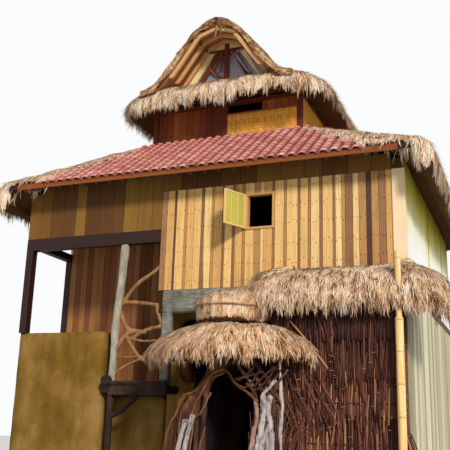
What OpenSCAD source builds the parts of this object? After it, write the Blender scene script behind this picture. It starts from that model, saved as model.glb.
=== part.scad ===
// Thatched timber house with a raised boarded room, a side veranda with a
// driftwood rail, a domed porch and a bell shaped gable roof.
// Millimetres, +Z up, front towards -Y. The origin is on the ground at the
// middle of the house.

/* [House] */
// Width of the house across the front
house_w = 8000; // [7600:100:8600]
// Depth of the house from front to back
house_d = 6700; // [6300:100:7300]
// Width of the boarded room at the right of the front
room_w = 4800; // [4600:100:5000]
// How far the lower front wall stands behind the upper one
setback = 500; // [450:50:700]
// Height of the balcony deck above the ground
deck_z = 2540; // [2440:20:2600]
// Height of the upper floor, where the wall boards start
upper_z = 4360; // [4300:20:4460]
// Height of the underside of the eaves board
eave_z = 6560; // [6500:20:6700]
// Thickness of the ground slab
slab_t = 120; // [100:10:180]
// Thickness of the timber floors
floor_t = 140; // [100:10:180]

/* [Walls] */
// Thickness of the plastered lower walls
plaster_t = 200; // [150:10:260]
// Thickness of a boarded wall, boards and frame together
board_t = 100; // [80:10:140]
// Thickness of the white side panels on their frame
panel_t = 90; // [70:10:120]
// Height of the boards under the shaded eaves band
boards_h = 2030; // [1950:10:2060]
// Width of the cream board at the front corner
corner_w = 200; // [150:10:250]
// Height of the plastered wall beside the balcony
wing_wall_h = 3600; // [3300:50:3800]
// Height of the underside of the beam over the veranda
wing_beam_z = 5350; // [5200:25:5450]
// Depth of the open veranda behind the front
veranda_d = 1500; // [1300:50:1700]

/* [Openings] */
// Width of the doorway behind the porch
door_w = 900; // [800:20:1000]
// Height of the doorway behind the porch
door_h = 2180; // [2000:20:2240]
// Distance of the porch centre from the right corner
porch_x = 2900; // [2800:20:3000]
// Width of the front window
window_w = 580; // [500:20:700]
// Height of the front window
window_h = 720; // [600:20:800]
// Height of the window sill over the upper floor
sill_h = 1100; // [1000:20:1200]
// Distance of the window's right side from the right corner
window_x = 2420; // [2300:20:2500]
// How far the window leaf is swung open, in degrees
leaf_angle = 115; // [95:5:140]

/* [Eaves and tiles] */
// Overhang of the tiled eaves in front of the wall
eave_out = 500; // [400:20:600]
// Overhang of the thatched eaves beside the wall
thatch_out = 500; // [450:20:600]
// Height of the eaves board
fascia_h = 120; // [90:10:150]
// Vertical thickness of the tiles and their battens
tile_t = 110; // [90:10:140]
// Diameter of the round rafters
rafter_d = 80; // [60:5:100]
// Distance between rafters
rafter_pitch = 300; // [250:10:400]

/* [Attic and gable] */
// Width of the attic
attic_w = 3500; // [3300:50:3700]
// Depth of the attic
attic_d = 4300; // [4000:50:4600]
// Height of the attic floor
attic_z = 7930; // [7850:10:8050]
// Height of the woven parapet
mat_h = 520; // [450:10:600]
// Height of the attic side walls
attic_wall_h = 860; // [820:10:880]
// Height of the gable roof over the plates of the attic
gable_h = 1710; // [1510:20:1910]
// Overhang of the gable roof in front of the attic wall
gable_out = 720; // [600:20:760]
// Thickness of the gable thatch
gable_t = 240; // [200:10:280]

/* [Thatch] */
// Thickness of the side thatch, measured upright
thatch_t = 380; // [320:10:440]
// How far the side thatch laps over the hip tiles
hip_cap = 1250; // [1100:20:1350]
// How far the fringe of the side thatch hangs down
side_fringe = 780; // [600:20:900]
// Reach of the attic skirt from the attic wall
skirt_out = 640; // [560:20:700]
// Height of the attic skirt from its top to the tips of its fringe
skirt_drop = 740; // [680:20:800]

/* [Porch and awning] */
// Half width of the porch skirt
porch_a = 1560; // [1450:20:1640]
// Half depth of the porch skirt
porch_b = 1150; // [1050:20:1180]
// Radius of the dome over the porch
dome_r = 660; // [600:10:700]
// Height of the dome over the porch
dome_h = 620; // [580:10:660]
// Height of the shoulder where the dome stands on the skirt
porch_top_z = 3520; // [3450:10:3600]
// Height of the porch skirt from its shoulder to the tips of its fringe
porch_h = 800; // [760:10:820]
// Height of the tip of the arch
arch_z = 2740; // [2600:20:2800]
// Width of the arch opening
arch_w = 840; // [800:20:920]
// How far the arch stands to the right of the middle of the porch
arch_shift = 150; // [100:10:180]
// Reach of the awning in front of the wall
awning_out = 1100; // [1000:20:1160]
// Length of the awning along the front
awning_w = 2650; // [2500:50:2750]
// Length of the awning along the side
awning_side = 840; // [760:20:920]
// Height of the top of the awning at the wall
awning_z = 4620; // [4560:10:4700]
// Height of the awning from its top to the tips of its fringe
awning_drop = 1080; // [1020:20:1140]
// Diameter of the bamboo pole
bamboo_d = 130; // [110:5:150]
// Diameter of a wattle stick
stick_d = 52; // [46:2:60]

/* [Hidden] */
$fn = 32;
// Room left between pieces that rest on each other
seat = 0.3;
// Small overlap that joins two shapes of one piece
join = 5;
// Larger than the house, for cutting shapes
far = 20000;

// Plan
x_r = house_w / 2;
x_l = -x_r;
y_f = -house_d / 2;
y_b = -y_f;
x_room = x_r - room_w;
y_low = y_f + setback;
y_ver = y_f + veranda_d;
x_niche = x_room - 1140;
log_x = x_niche + 200;
// Roof planes
x_eave = x_r + thatch_out;
y_eave = y_b + eave_out;
tile_z = eave_z + fascia_h;
attic_x = attic_w / 2;
attic_y = attic_d / 2;
front_slope = (attic_z - tile_z) / (y_eave - attic_y);
side_slope = (attic_z - tile_z) / (x_eave - attic_x);
front_angle = atan(front_slope);
thatch_lift = 80;
rafter_drop = rafter_d / cos(front_angle);
plate_z = eave_z - 60;
function front_z(y) = tile_z + (y_eave - abs(y)) * front_slope;
function side_z(x) = tile_z + (x_eave - abs(x)) * side_slope;
function hip_x(y) = attic_x + (abs(y) - attic_y) * (x_eave - attic_x) / (y_eave - attic_y);
function hip_y(x) = attic_y + max(0, abs(x) - attic_x) * (y_eave - attic_y) / (x_eave - attic_x);
// Openings
porch_mid = x_r - porch_x;
door_x0 = porch_mid + arch_shift - door_w / 2;
door_x1 = door_x0 + door_w;
porch_y = y_f - 700;
win_x1 = x_r - window_x;
win_x0 = win_x1 - window_w;
win_z0 = upper_z + sill_h;
win_z1 = win_z0 + window_h;
frame_w = 45;
lintel_h = 440;
lintel_z = upper_z - lintel_h;
lintel_d = 260;
lintel_y = y_f - 30;
lintel_x = x_room + 110;
post_w = 190;

// General shapes
module span(x, y, z) {
    translate([x[0], y[0], z[0]]) cube([x[1] - x[0], y[1] - y[0], z[1] - z[0]]);
}

// Extrudes an outline drawn in X and Z along Y
module along_y(y) {
    translate([0, y[1], 0]) rotate([90, 0, 0]) linear_extrude(y[1] - y[0]) children();
}

// Extrudes an outline drawn in Y and Z along X
module along_x(x) {
    translate([x[0], 0, 0]) rotate([90, 0, 90]) linear_extrude(x[1] - x[0]) children();
}

module front_and_back() {
    children();
    mirror([0, 1, 0]) children();
}

module both_sides() {
    children();
    mirror([1, 0, 0]) children();
}

// A straight round pole between two points
module pole(a, b, r) {
    d = b - a;
    len = norm(d);
    translate(a) rotate([0, acos(d[2] / len), atan2(d[1], d[0])]) cylinder(r = r, h = len);
}

// A smooth curve through points, with n steps between each two
function spline_point(p, i, t) =
    let(a = p[max(i - 1, 0)], b = p[i], c = p[i + 1], d = p[min(i + 2, len(p) - 1)])
    0.5 * (2 * b + (c - a) * t + (2 * a - 5 * b + 4 * c - d) * t * t
        + (3 * b - a - 3 * c + d) * t * t * t);
function curve(p, n) = [
    for (i = [0:len(p) - 2]) for (k = [0:n - 1]) spline_point(p, i, k / n),
    p[len(p) - 1]];

// Joins rings with equal counts of points into one closed solid. Rings that
// fold back on themselves, such as a thin curved layer, are capped in strips.
module loft(rings, layer = false) {
    n = len(rings[0]);
    last = len(rings) - 1;
    points = [for (r = rings) for (p = r) p];
    walls = [for (i = [0:last - 1]) for (k = [0:n - 1]) for (h = [0, 1])
        let(a = i * n + k, b = i * n + (k + 1) % n)
        h == 0 ? [a, a + n, b] : [b, a + n, b + n]];
    cap = layer
        ? [for (k = [0:n / 2 - 2]) for (h = [0, 1])
            h == 0 ? [k, k + 1, n - 1 - k] : [k + 1, n - 2 - k, n - 1 - k]]
        : [[for (k = [0:n - 1]) k]];
    polyhedron(points, concat(walls, cap,
        [for (f = cap) [for (k = [len(f) - 1:-1:0]) last * n + f[k]]]), convexity = 6);
}

// Joins rings that follow each other all the way round
module loft_round(rings) {
    n = len(rings[0]);
    m = len(rings);
    points = [for (r = rings) for (p = r) p];
    polyhedron(points, [for (i = [0:m - 1]) for (k = [0:n - 1]) for (h = [0, 1])
        let(j = (i + 1) % m, a = i * n + k, b = i * n + (k + 1) % n, c = j * n + k,
            d = j * n + (k + 1) % n)
        h == 0 ? [a, c, b] : [b, c, d]], convexity = 6);
}

module below_ground() {
    span([-far, far], [-far, far], [-far, 0]);
}

// A branch that follows points and changes thickness on the way
function unit(v) = v / norm(v);
function path_dir(p, i) = unit(p[min(i + 1, len(p) - 1)] - p[max(i - 1, 0)]);
module branch(points, r0, r1, n = 3, sides = 7) {
    p = curve(points, n);
    m = len(p) - 1;
    loft([for (i = [0:m])
        let(t = path_dir(p, i), ref = abs(t[1]) > 0.8 ? [1, 0, 0] : [0, 1, 0],
            u = unit(cross(ref, t)), v = cross(t, u), r = r0 + (r1 - r0) * i / m)
        [for (k = [0:sides - 1]) p[i] + r * (u * cos(360 * k / sides) + v * sin(360 * k / sides))]]);
}

// Everything below the roof, lowered by some depth
module under_roof(drop_front, drop_side) {
    flat = attic_z - floor_t - seat;
    intersection() {
        along_x([-far, far]) polygon([
            [-y_eave - 1000, -1000], [-y_eave - 1000, front_z(y_eave + 1000) - drop_front],
            [-attic_y, min(flat, front_z(attic_y) - drop_front)],
            [attic_y, min(flat, front_z(attic_y) - drop_front)],
            [y_eave + 1000, front_z(y_eave + 1000) - drop_front], [y_eave + 1000, -1000]]);
        along_y([-far, far]) polygon([
            [-x_eave - 1000, -1000], [-x_eave - 1000, side_z(x_eave + 1000) - drop_side],
            [-attic_x, side_z(attic_x) - drop_side], [attic_x, side_z(attic_x) - drop_side],
            [x_eave + 1000, side_z(x_eave + 1000) - drop_side], [x_eave + 1000, -1000]]);
    }
}
module roofed() {
    intersection() {
        children();
        under_roof(tile_t + rafter_drop + 2 * seat, thatch_t - thatch_lift + seat);
    }
}

// Ground storey
module ground_slab() {
    color("gray") linear_extrude(slab_t) polygon([
        [x_l, y_f], [x_niche, y_f], [x_niche, y_low], [door_x0 - 400, y_low],
        [x_r - board_t, y_low], [x_r - board_t, y_f], [x_r, y_f], [x_r, y_b], [x_l, y_b]]);
}

module wing_walls() {
    color("olive") {
        translate([0, 0, slab_t + seat]) linear_extrude(wing_wall_h - slab_t) polygon([
            [x_l, y_f], [x_niche, y_f], [x_niche, y_low], [x_niche - plaster_t, y_low],
            [x_niche - plaster_t, y_f + plaster_t], [x_l, y_f + plaster_t]]);
        span([x_niche - plaster_t, x_room], [y_low, y_low + plaster_t],
            [slab_t + seat, deck_z - floor_t - seat]);
    }
}

module hall_wall_left() {
    color("olive") difference() {
        span([x_room + seat, door_x0], [y_low, y_low + plaster_t],
            [slab_t + seat, upper_z - floor_t - seat]);
        span([lintel_x + post_w, door_x0 - 350], [y_low - 50, y_low + plaster_t + 50],
            [deck_z + 100, lintel_z - 70]);
    }
}

module hall_wall_right() {
    color("olive") span([door_x1, x_r - board_t - seat], [y_low, y_low + plaster_t],
        [slab_t + seat, upper_z - floor_t - seat]);
}

module door_head() {
    color("olive") span([door_x0 + seat, door_x1 - seat], [y_low, y_low + plaster_t],
        [slab_t + door_h, upper_z - floor_t - seat]);
}

module side_planks() {
    span([x_r - board_t, x_r], [y_f, y_b], [slab_t + seat, upper_z - floor_t - seat]);
}
module plank_wall_right() {
    color("silver") side_planks();
}
module plank_wall_left() {
    color("silver") mirror([1, 0, 0])
        span([x_r - board_t, x_r], [y_f + plaster_t + seat, y_b],
            [slab_t + seat, wing_wall_h]);
}

module lower_wall_back() {
    color("olive") span([x_l + board_t + seat, x_r - board_t - seat], [y_b - plaster_t, y_b],
        [slab_t + seat, upper_z - floor_t - seat]);
}

// Veranda and balcony on the left
module deck_floor() {
    color("sienna") translate([0, 0, deck_z - floor_t]) linear_extrude(floor_t) polygon([
        [x_l + board_t + seat, y_f + plaster_t + seat],
        [x_niche - plaster_t - seat, y_f + plaster_t + seat],
        [x_niche - plaster_t - seat, y_low + seat], [x_niche + seat, y_low + seat],
        [x_niche + seat, y_f], [lintel_x + post_w, y_f], [lintel_x + post_w, y_low - seat],
        [x_room - seat, y_low - seat], [x_room - seat, y_b - plaster_t - seat],
        [x_l + board_t + seat, y_b - plaster_t - seat]]);
}

edge_y = y_f - 40;
module balcony_frame() {
    color("saddlebrown") {
        pole([log_x, y_f + 60, 0], [log_x, y_f + 60, deck_z - floor_t - seat], 65);
        branch([[log_x, y_f + 60, deck_z - 600], [log_x + 260, y_f + 60, deck_z - 480],
            [log_x + 480, y_f + 60, deck_z - 300],
            [log_x + 600, y_f + 60, deck_z - floor_t - 42]], 50, 42);
    }
    color("black") span([log_x - 20, lintel_x + post_w], [edge_y, y_f - seat],
        [deck_z - 190, deck_z]);
    color("sienna") {
        branch([[log_x - 40, edge_y - 20, deck_z + 38], [log_x + 400, edge_y - 24, deck_z + 50],
            [lintel_x + post_w, edge_y - 20, deck_z + 34]], 42, 36);
        translate([log_x - 30, edge_y - 120, deck_z + 90]) rotate([-90, 0, 0]) cylinder(r = 95, h = 140);
    }
}

module log_post_shape() {
    branch([[log_x, y_f + 60, deck_z], [log_x + 20, y_f + 50, deck_z + 1100],
        [log_x + 90, y_f + 60, deck_z + 2300], [log_x + 110, y_f + 60, wing_beam_z]], 75, 95, 4, 10);
}
module log_post() {
    color("darkgray") intersection() {
        log_post_shape();
        span([x_l, x_room], [y_f - 200, y_f + 400], [deck_z + seat, wing_beam_z - seat]);
    }
}

rail_y = y_f + 60;
rail_end = lintel_x - log_x;
// A place in the rail, as shares of its length and of the height of its post
function rail(u, v) = [log_x + rail_end * u, rail_y, deck_z + (wing_beam_z - deck_z) * v];
module balcony_rail() {
    color("tan") difference() {
        union() {
            branch([rail(0, 0.56), rail(0.29, 0.577), rail(1, 0.545)], 45, 38);
            branch([rail(0.06, 0.527), rail(0.24, 0.402), rail(0.41, 0.374), rail(0.67, 0.363)], 52, 42);
            branch([rail(0.34, 0.313), rail(0.67, 0.377), rail(1, 0.402)], 36, 44);
            branch([rail(0, 0.15), rail(0.06, 0.25), rail(0.23, 0.342), rail(0.4, 0.367)], 42, 50);
            branch([rail(0.23, 0.331), rail(0.61, 0.302), rail(1, 0.31)], 26, 20);
            branch([rail(0.06, 0.19), rail(1, 0.2)], 26, 20);
            branch([rail(0, 0.036), rail(0.19, 0.117), rail(0.71, 0.2)], 34, 24);
            branch([rail(0.29, 0.313), rail(0.53, 0.2), rail(0.78, 0.142)], 40, 24);
            branch([rail(0.87, 0.541), rail(0.914, 0.473), rail(1, 0.409)], 40, 44);
            branch([rail(0.1, 0.555), rail(0.4, 0.698), rail(0.75, 0.783), rail(1, 0.854)], 44, 40);
        }
        log_post_shape();
        span([lintel_x, x_r], [y_f - 300, y_f + 400], [deck_z - 200, lintel_z]);
        span([x_room, x_r], [y_f - 300, y_f + 400], [lintel_z, eave_z]);
    }
}

module wing_frame() {
    color("saddlebrown") {
        span([x_l, x_l + 160], [y_f, y_f + 160], [wing_wall_h + 2 * seat, wing_beam_z]);
        span([x_l, x_room - seat], [y_f, y_f + 160], [wing_beam_z, wing_beam_z + 250]);
        span([x_l, x_l + 160], [y_ver, y_ver + 160], [wing_wall_h + 2 * seat, wing_beam_z + 250]);
        span([x_l, x_l + 160], [y_f + 160, y_ver], [wing_beam_z + 90, wing_beam_z + 250]);
    }
}

module wing_boards() {
    color("saddlebrown") roofed() {
        span([x_l, x_room - seat], [y_f, y_f + board_t], [wing_beam_z + 250 + seat, far]);
    }
}

module veranda_wall() {
    color("maroon") span([x_l + 160 + seat, x_room - seat], [y_ver, y_ver + board_t],
        [deck_z + seat, plate_z]);
}

// Upper storey
module lintel_frame() {
    color("dimgray") {
        span([lintel_x, x_r - board_t - seat], [lintel_y, lintel_y + lintel_d], [lintel_z, upper_z - seat]);
        span([lintel_x, lintel_x + post_w], [y_f - 10, y_f + 180], [deck_z + seat, lintel_z]);
    }
}

module upper_floor() {
    color("peru") translate([0, 0, upper_z - floor_t]) linear_extrude(floor_t - seat) polygon([
        [x_room, lintel_y + lintel_d + seat], [x_r, lintel_y + lintel_d + seat], [x_r, y_b], [x_room, y_b],
        [x_room, y_ver + board_t + seat], [x_room + board_t + seat, y_ver + board_t + seat],
        [x_room + board_t + seat, y_low + plaster_t], [x_room, y_low + plaster_t]]);
}

module board_wall_front() {
    color("burlywood") difference() {
        span([x_room, x_r], [y_f, y_f + board_t], [upper_z, upper_z + boards_h]);
        span([win_x0, win_x1], [y_f - 50, y_f + board_t + 50], [win_z0, win_z1]);
    }
}

module eave_band() {
    color("goldenrod") roofed()
        span([x_room, x_r], [y_f, y_f + board_t], [upper_z + boards_h + seat, far]);
}

corner_t = 20;
module corner_board() {
    color("wheat") {
        span([x_r - corner_w, x_r + corner_t], [y_f - 25 - seat, y_f - seat],
            [upper_z + seat, upper_z + boards_h]);
        span([x_r + seat, x_r + corner_t], [y_f - join, y_f + 120], [upper_z + seat, upper_z + boards_h]);
    }
}

module room_side_wall() {
    color("rosybrown") roofed() along_x([x_room, x_room + board_t]) polygon([
        [y_f + board_t + seat, upper_z + seat], [y_low + plaster_t + seat, upper_z + seat],
        [y_low + plaster_t + seat, deck_z + seat], [y_ver + board_t, deck_z + seat],
        [y_ver + board_t, far], [y_f + board_t + seat, far]]);
}

module panel_wall() {
    mid = 12;
    roofed() {
        span([x_r - panel_t, x_r], [y_f + board_t + seat, -mid / 2], [upper_z, far]);
        span([x_r - panel_t, x_r], [mid / 2, y_b - board_t - seat], [upper_z, far]);
        span([x_r - panel_t, x_r - panel_t / 2], [-mid, mid], [upper_z, far]);
    }
}
module panel_wall_right() {
    color("lightyellow") panel_wall();
}
module panel_wall_left() {
    color("lightyellow") roofed() mirror([1, 0, 0]) {
        span([x_r - panel_t, x_r], [y_ver + 160 + seat, y_b - board_t - seat], [wing_wall_h + seat, far]);
    }
}

module board_wall_back() {
    color("burlywood") roofed()
        span([x_l, x_r], [y_b - board_t, y_b], [upper_z, far]);
}

module window_frame() {
    color("cornsilk") difference() {
        span([win_x0 + seat, win_x1 - seat], [y_f - 15, y_f + board_t], [win_z0 + seat, win_z1 - seat]);
        span([win_x0 + frame_w, win_x1 - frame_w], [y_f - 50, y_f + board_t + 50],
            [win_z0 + frame_w, win_z1 - frame_w]);
    }
}

leaf_t = 28;
module window_leaf() {
    color("wheat") translate([win_x0 + 2, y_f - 15 - seat, 0]) rotate([0, 0, -leaf_angle]) {
        translate([0, -leaf_t, win_z0 + 20]) cube([window_w - 20, leaf_t, window_h - 40]);
        translate([window_w - 80, -leaf_t - 25, win_z0 + window_h / 2]) rotate([-90, 0, 0])
            cylinder(r = 16, h = 30);
    }
}

// Tiled eaves
module eave_fascia() {
    color("chocolate") front_and_back()
        span([-x_r, x_r], [-y_eave - 30, -y_eave - seat], [eave_z, tile_z - 10]);
}

rafter_n = floor((x_r - 2 * rafter_d) / rafter_pitch);
module eave_rafters() {
    r = rafter_d / 2;
    drop = tile_t + rafter_drop / 2 + seat;
    color("tan") front_and_back() for (i = [-rafter_n:rafter_n]) {
        x = i * rafter_pitch;
        y0 = -y_eave + 40;
        y1 = -hip_y(x) - rafter_d;
        pole([x, y0, front_z(y0) - drop], [x, y1, front_z(y1) - drop], r);
    }
}

// The tiles end under the thatch at both sides
tile_end = x_eave - 250;
module tile_roof() {
    color("indianred") front_and_back() intersection() {
        span([-tile_end, tile_end], [-far, far], [0, far]);
        along_x([-x_eave, x_eave]) polygon([
            [-y_eave, tile_z - tile_t], [-y_eave, tile_z], [-attic_y - seat, attic_z],
            [-attic_y - seat, attic_z - tile_t]]);
        linear_extrude(far) polygon([
            [-x_eave, -y_eave], [x_eave, -y_eave], [attic_x, -attic_y], [-attic_x, -attic_y]]);
    }
}

// Side thatch with a cap over both hips, which widens towards the eaves
thatch_n = 10;
fringe_x = x_eave - 245;
function thatch_top(x, y) = min(side_z(x), front_z(min(abs(y), y_eave))) + thatch_lift;
function thatch_ring(y) =
    let(ya = abs(y), over = max(0, ya - attic_y), hx = min(hip_x(max(ya, attic_y)), x_eave),
        cap = hip_cap * pow(over / (y_eave - attic_y), 0.7),
        x0 = max(attic_x + seat, hx - cap), x1 = x_eave - 60, xh = min(hx, fringe_x),
        low = front_z(max(attic_y, min(ya, y_eave))) + 2)
    concat(
        [for (k = [0:thatch_n]) let(t = k / thatch_n, x = x0 + (x1 - x0) * t,
            edge = over > 0 ? min(1, (x - x0) / 260) : 1)
            [x, y, thatch_top(x, y) - thatch_lift * (1 - edge) * 0.9]],
        [[x_eave + 60, y, tile_z - 20], [x_eave + 120, y, tile_z - 220],
            [x_eave + 90, y, tile_z + thatch_lift - side_fringe],
            [x_eave - 160, y, tile_z + thatch_lift - side_fringe + 80],
            [x_eave - 230, y, tile_z - thatch_t + 60]],
        [[hx > x_r ? x_eave - 240 : x_r, y, side_z(x_r) + thatch_lift - thatch_t],
            [xh + 1, y, side_z(xh) + thatch_lift - thatch_t], [xh + 1, y, low], [xh, y, low]]);
module side_thatch() {
    ys = [attic_y + 1, attic_y + 160, attic_y + 420, attic_y + 800, attic_y + 1200, hip_y(fringe_x),
        y_eave + 20];
    color("tan") both_sides() loft([for (y = concat([for (k = [6:-1:0]) -ys[k]], [-1400, 0, 1400], ys))
        thatch_ring(y)]);
}

// Attic
module attic_floor() {
    color("saddlebrown") span([-attic_x, attic_x], [-attic_y, attic_y], [attic_z - floor_t, attic_z]);
}

attic_post = 110;
plate_h = 90;
attic_top = attic_z + attic_wall_h - plate_h;
ridge_z = attic_top + plate_h + gable_h;
gable_base = attic_top + plate_h + 0.24 * gable_h;
// Outline of the gable roof as shares of its half width and of its height
bell = [[0, 0], [0.114, 0.035], [0.257, 0.138], [0.4, 0.292], [0.543, 0.48], [0.714, 0.69], [0.857, 0.845]];
bell_in = [[0, 0], [0.126, 0.044], [0.23, 0.09], [0.27, 0.128], [0.4, 0.35], [0.571, 0.633],
    [0.714, 0.823], [0.851, 0.98]];
gable_outer = curve(concat([for (q = bell) [attic_x * q[0], ridge_z - gable_h * q[1]]],
    [[attic_x, gable_base - 180]]), 3);
gable_inner = curve(concat([for (q = bell_in)
    [attic_x * q[0], ridge_z - gable_t - (gable_h - gable_t) * q[1]]],
    [[attic_x, attic_top + plate_h + 8]]), 3);
gable_peak = gable_inner[0][1];
// Half width of the room under the gable roof at some height
function gable_half(z) = [for (i = [1:len(gable_inner) - 1])
    let(a = gable_inner[i - 1], b = gable_inner[i])
    if (a[1] >= z && b[1] < z) a[0] + (b[0] - a[0]) * (a[1] - z) / (a[1] - b[1])][0];
tie_x = gable_half(gable_base) - 60;
module attic_frame() {
    p = attic_post;
    color("brown") {
        for (x = [-attic_x, -p / 2, attic_x - p]) front_and_back()
            span([x, x + p], [-attic_y, -attic_y + p], [attic_z + seat, attic_top]);
        both_sides() span([attic_x - p, attic_x], [-attic_y, attic_y], [attic_top, attic_top + plate_h]);
        front_and_back() {
            span([-attic_x, attic_x], [-attic_y, -attic_y + p], [attic_top, attic_top + plate_h]);
            span([-tie_x, tie_x], [-attic_y, -attic_y + p], [gable_base - plate_h, gable_base]);
        }
        front_and_back() for (x = [-tie_x, -p / 2, tie_x - p])
            span([x, x + p], [-attic_y, -attic_y + p], [attic_top, gable_base]);
    }
}

module attic_mats() {
    t = 30;
    p = attic_post;
    color("goldenrod") {
        span([p / 2 + seat, attic_x - p - seat], [-attic_y + 15, -attic_y + 15 + t],
            [attic_z + seat, attic_z + mat_h]);
        both_sides() span([attic_x - 15 - t, attic_x - 15], [-attic_y + p + seat, attic_y - p - seat],
            [attic_z + seat, attic_top - seat]);
        for (s = [-1, 1]) span([s > 0 ? p / 2 + seat : -attic_x + p + seat,
            s > 0 ? attic_x - p - seat : -p / 2 - seat], [attic_y - 15 - t, attic_y - 15],
            [attic_z + seat, attic_top - seat]);
    }
}

module attic_boards() {
    p = attic_post;
    color("firebrick") {
        span([850, attic_x - p - seat], [-attic_y + 30, -attic_y + 60],
            [attic_z + mat_h + seat, attic_top - seat]);
        span([-attic_x + p + seat, -p / 2 - seat], [-attic_y + 70, -attic_y + 100],
            [attic_z + seat, attic_top - seat]);
    }
}

// Thatch skirt that runs all round the attic. Its upper side is a list of
// places, out from the wall and up. side is 0 at the front and 1 at the sides,
// and puff is how far the upper side swells, which it does most at the corners.
skirt_low = gable_base - 190;
skirt_mid = gable_half(gable_base) * 1.1;
function skirt_upper(out, top, side, puff) = [[seat, top],
    [out * (0.5 - 0.1 * puff), top - (0.11 - 0.29 * puff) * skirt_drop],
    [out - 0.09 * skirt_out, top - (0.26 - 0.05 * side - 0.19 * puff) * skirt_drop],
    [out + 0.05 * skirt_out, top - (0.4 - 0.06 * puff) * skirt_drop]];
function skirt_ring(cx, cy, a, top = skirt_low, swell = 1) =
    let(c = cos(a), s = sin(a), side = abs(c), out = skirt_out * (1 - 0.14 * side),
        puff = swell * (1 - 0.7 * side),
        drop = skirt_drop * (1 - 0.16 * side) + (top - skirt_low) * 0.6)
    [for (q = concat(skirt_upper(out, top, side, puff), [[out + 0.11 * skirt_out, top - 0.65 * skirt_drop],
        [out + 0.08 * skirt_out, top - drop], [out - 0.2 * skirt_out, top - drop + 0.05 * skirt_drop],
        [out - 0.36 * skirt_out, top - 0.65 * skirt_drop], [20, attic_top - 20], [seat, attic_top - 40]]))
        [cx + c * q[0], cy + s * q[0], q[1]]];
// Rings of one corner, from its angle on
function skirt_corner(cx, cy, a) = [for (k = [0:5]) skirt_ring(cx, cy, a + k * 18)];
// Rings in between under the gable, where the skirt reaches up to its frame
function skirt_middle(cy, a) = [for (k = [1, 0.5, -0.5, -1])
    skirt_ring(skirt_mid * k * sin(a), cy, a, gable_base, 0)];
module attic_skirt() {
    color("tan") loft_round(concat(
        skirt_corner(attic_x, attic_y, 0), skirt_middle(attic_y, 90),
        skirt_corner(-attic_x, attic_y, 90), skirt_corner(-attic_x, -attic_y, 180),
        skirt_middle(-attic_y, 270), skirt_corner(attic_x, -attic_y, 270)));
}

// Bell shaped gable roof
function flip(list) = [for (k = [len(list) - 1:-1:0]) [-list[k][0], list[k][1]]];
function rev(list) = [for (k = [len(list) - 1:-1:0]) list[k]];
gable_y = attic_y + gable_out;
// Outline of the room that the skirt takes up under the roof, at some X
function skirt_seat(x, top, puff) = let(line = skirt_upper(skirt_out, top + 6, 0, puff))
    [[x, -attic_y, line[0][1]], [x, -attic_y - line[1][0], line[1][1]],
        [x, -attic_y - line[2][0], line[2][1]], [x, -gable_y - 10, line[3][1]],
        [x, -gable_y - 10, 0], [x, -attic_y, 0]];
module gable_thatch() {
    color("tan") difference() {
        along_y([-gable_y, gable_y])
            polygon(concat(flip(gable_outer), gable_outer, rev(gable_inner), rev(flip(gable_inner))));
        for (a = [0, 180]) rotate([0, 0, a]) loft([
            skirt_seat(-attic_x - 50, skirt_low, 1), skirt_seat(-attic_x, skirt_low, 1),
            skirt_seat(-skirt_mid, gable_base, 0), skirt_seat(skirt_mid, gable_base, 0),
            skirt_seat(attic_x, skirt_low, 1), skirt_seat(attic_x + 50, skirt_low, 1)]);
    }
}

// Outline just inside the thatch, moved in by some depth
function inside(d, z) = [for (p = gable_inner) if (p[1] - d * 0.8 > z && p[0] - d * 0.9 > 0)
    [p[0] - d * 0.9, p[1] - d * 0.8]];
module gable_area(d, z) {
    pts = inside(d, z);
    polygon(concat([[0, gable_inner[0][1] - d * 1.1]], pts, [[pts[len(pts) - 1][0], z]],
        [[-pts[len(pts) - 1][0], z]], [for (p = rev(pts)) [-p[0], p[1]]]));
}

module gable_ribs() {
    rib = 60;
    color("burlywood") front_and_back() for (y = [40, 330, 620])
        along_y([-attic_y - gable_out + y, -attic_y - gable_out + y + rib]) difference() {
            gable_area(seat * 2, gable_base + 10);
            gable_area(rib + 5, gable_base - 100);
        }
}

frame_ring = 170;
panel_z = gable_base + 0.81 * (gable_peak - gable_base);
// Outline of the panes, which end at the beam under the two upper panels
module pane_area() {
    intersection() {
        gable_area(frame_ring, gable_base + 40);
        translate([-attic_x, 0]) square([attic_w, panel_z]);
    }
}
module gable_frame() {
    color("khaki") front_and_back() along_y([-attic_y, -attic_y + 70]) difference() {
        gable_area(seat * 2, gable_base + seat);
        pane_area();
    }
}

module gable_truss() {
    top = panel_z - 50;
    foot = gable_base + 45;
    beam = gable_half(panel_z) - 40;
    pane = gable_half(foot) - frame_ring;
    function at(x, share) = [x, foot + (top - foot) * share];
    color("brown") front_and_back() {
        span([-50, 50], [-attic_y - 40, -attic_y - seat], [gable_base + seat, gable_peak - 60]);
        span([-beam, beam], [-attic_y - 30, -attic_y - seat], [top, panel_z]);
        along_y([-attic_y - 35, -attic_y - seat]) {
            polygon([at(-0.2 * beam, 1), at(-0.55 * beam, 1), at(-0.75 * pane, 0), at(-0.64 * pane, 0)]);
            polygon([at(-0.5 * pane, 0.5), at(-0.42 * pane, 0.56), at(-0.03 * pane, 0.1),
                at(-0.03 * pane, 0)]);
            polygon([at(0.12 * pane, 1), at(0.2 * pane, 1), at(0.66 * pane, 0), at(0.57 * pane, 0)]);
        }
    }
}

module gable_glass() {
    color("slategray") front_and_back() along_y([-attic_y + 20, -attic_y + 32]) pane_area();
}

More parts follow.
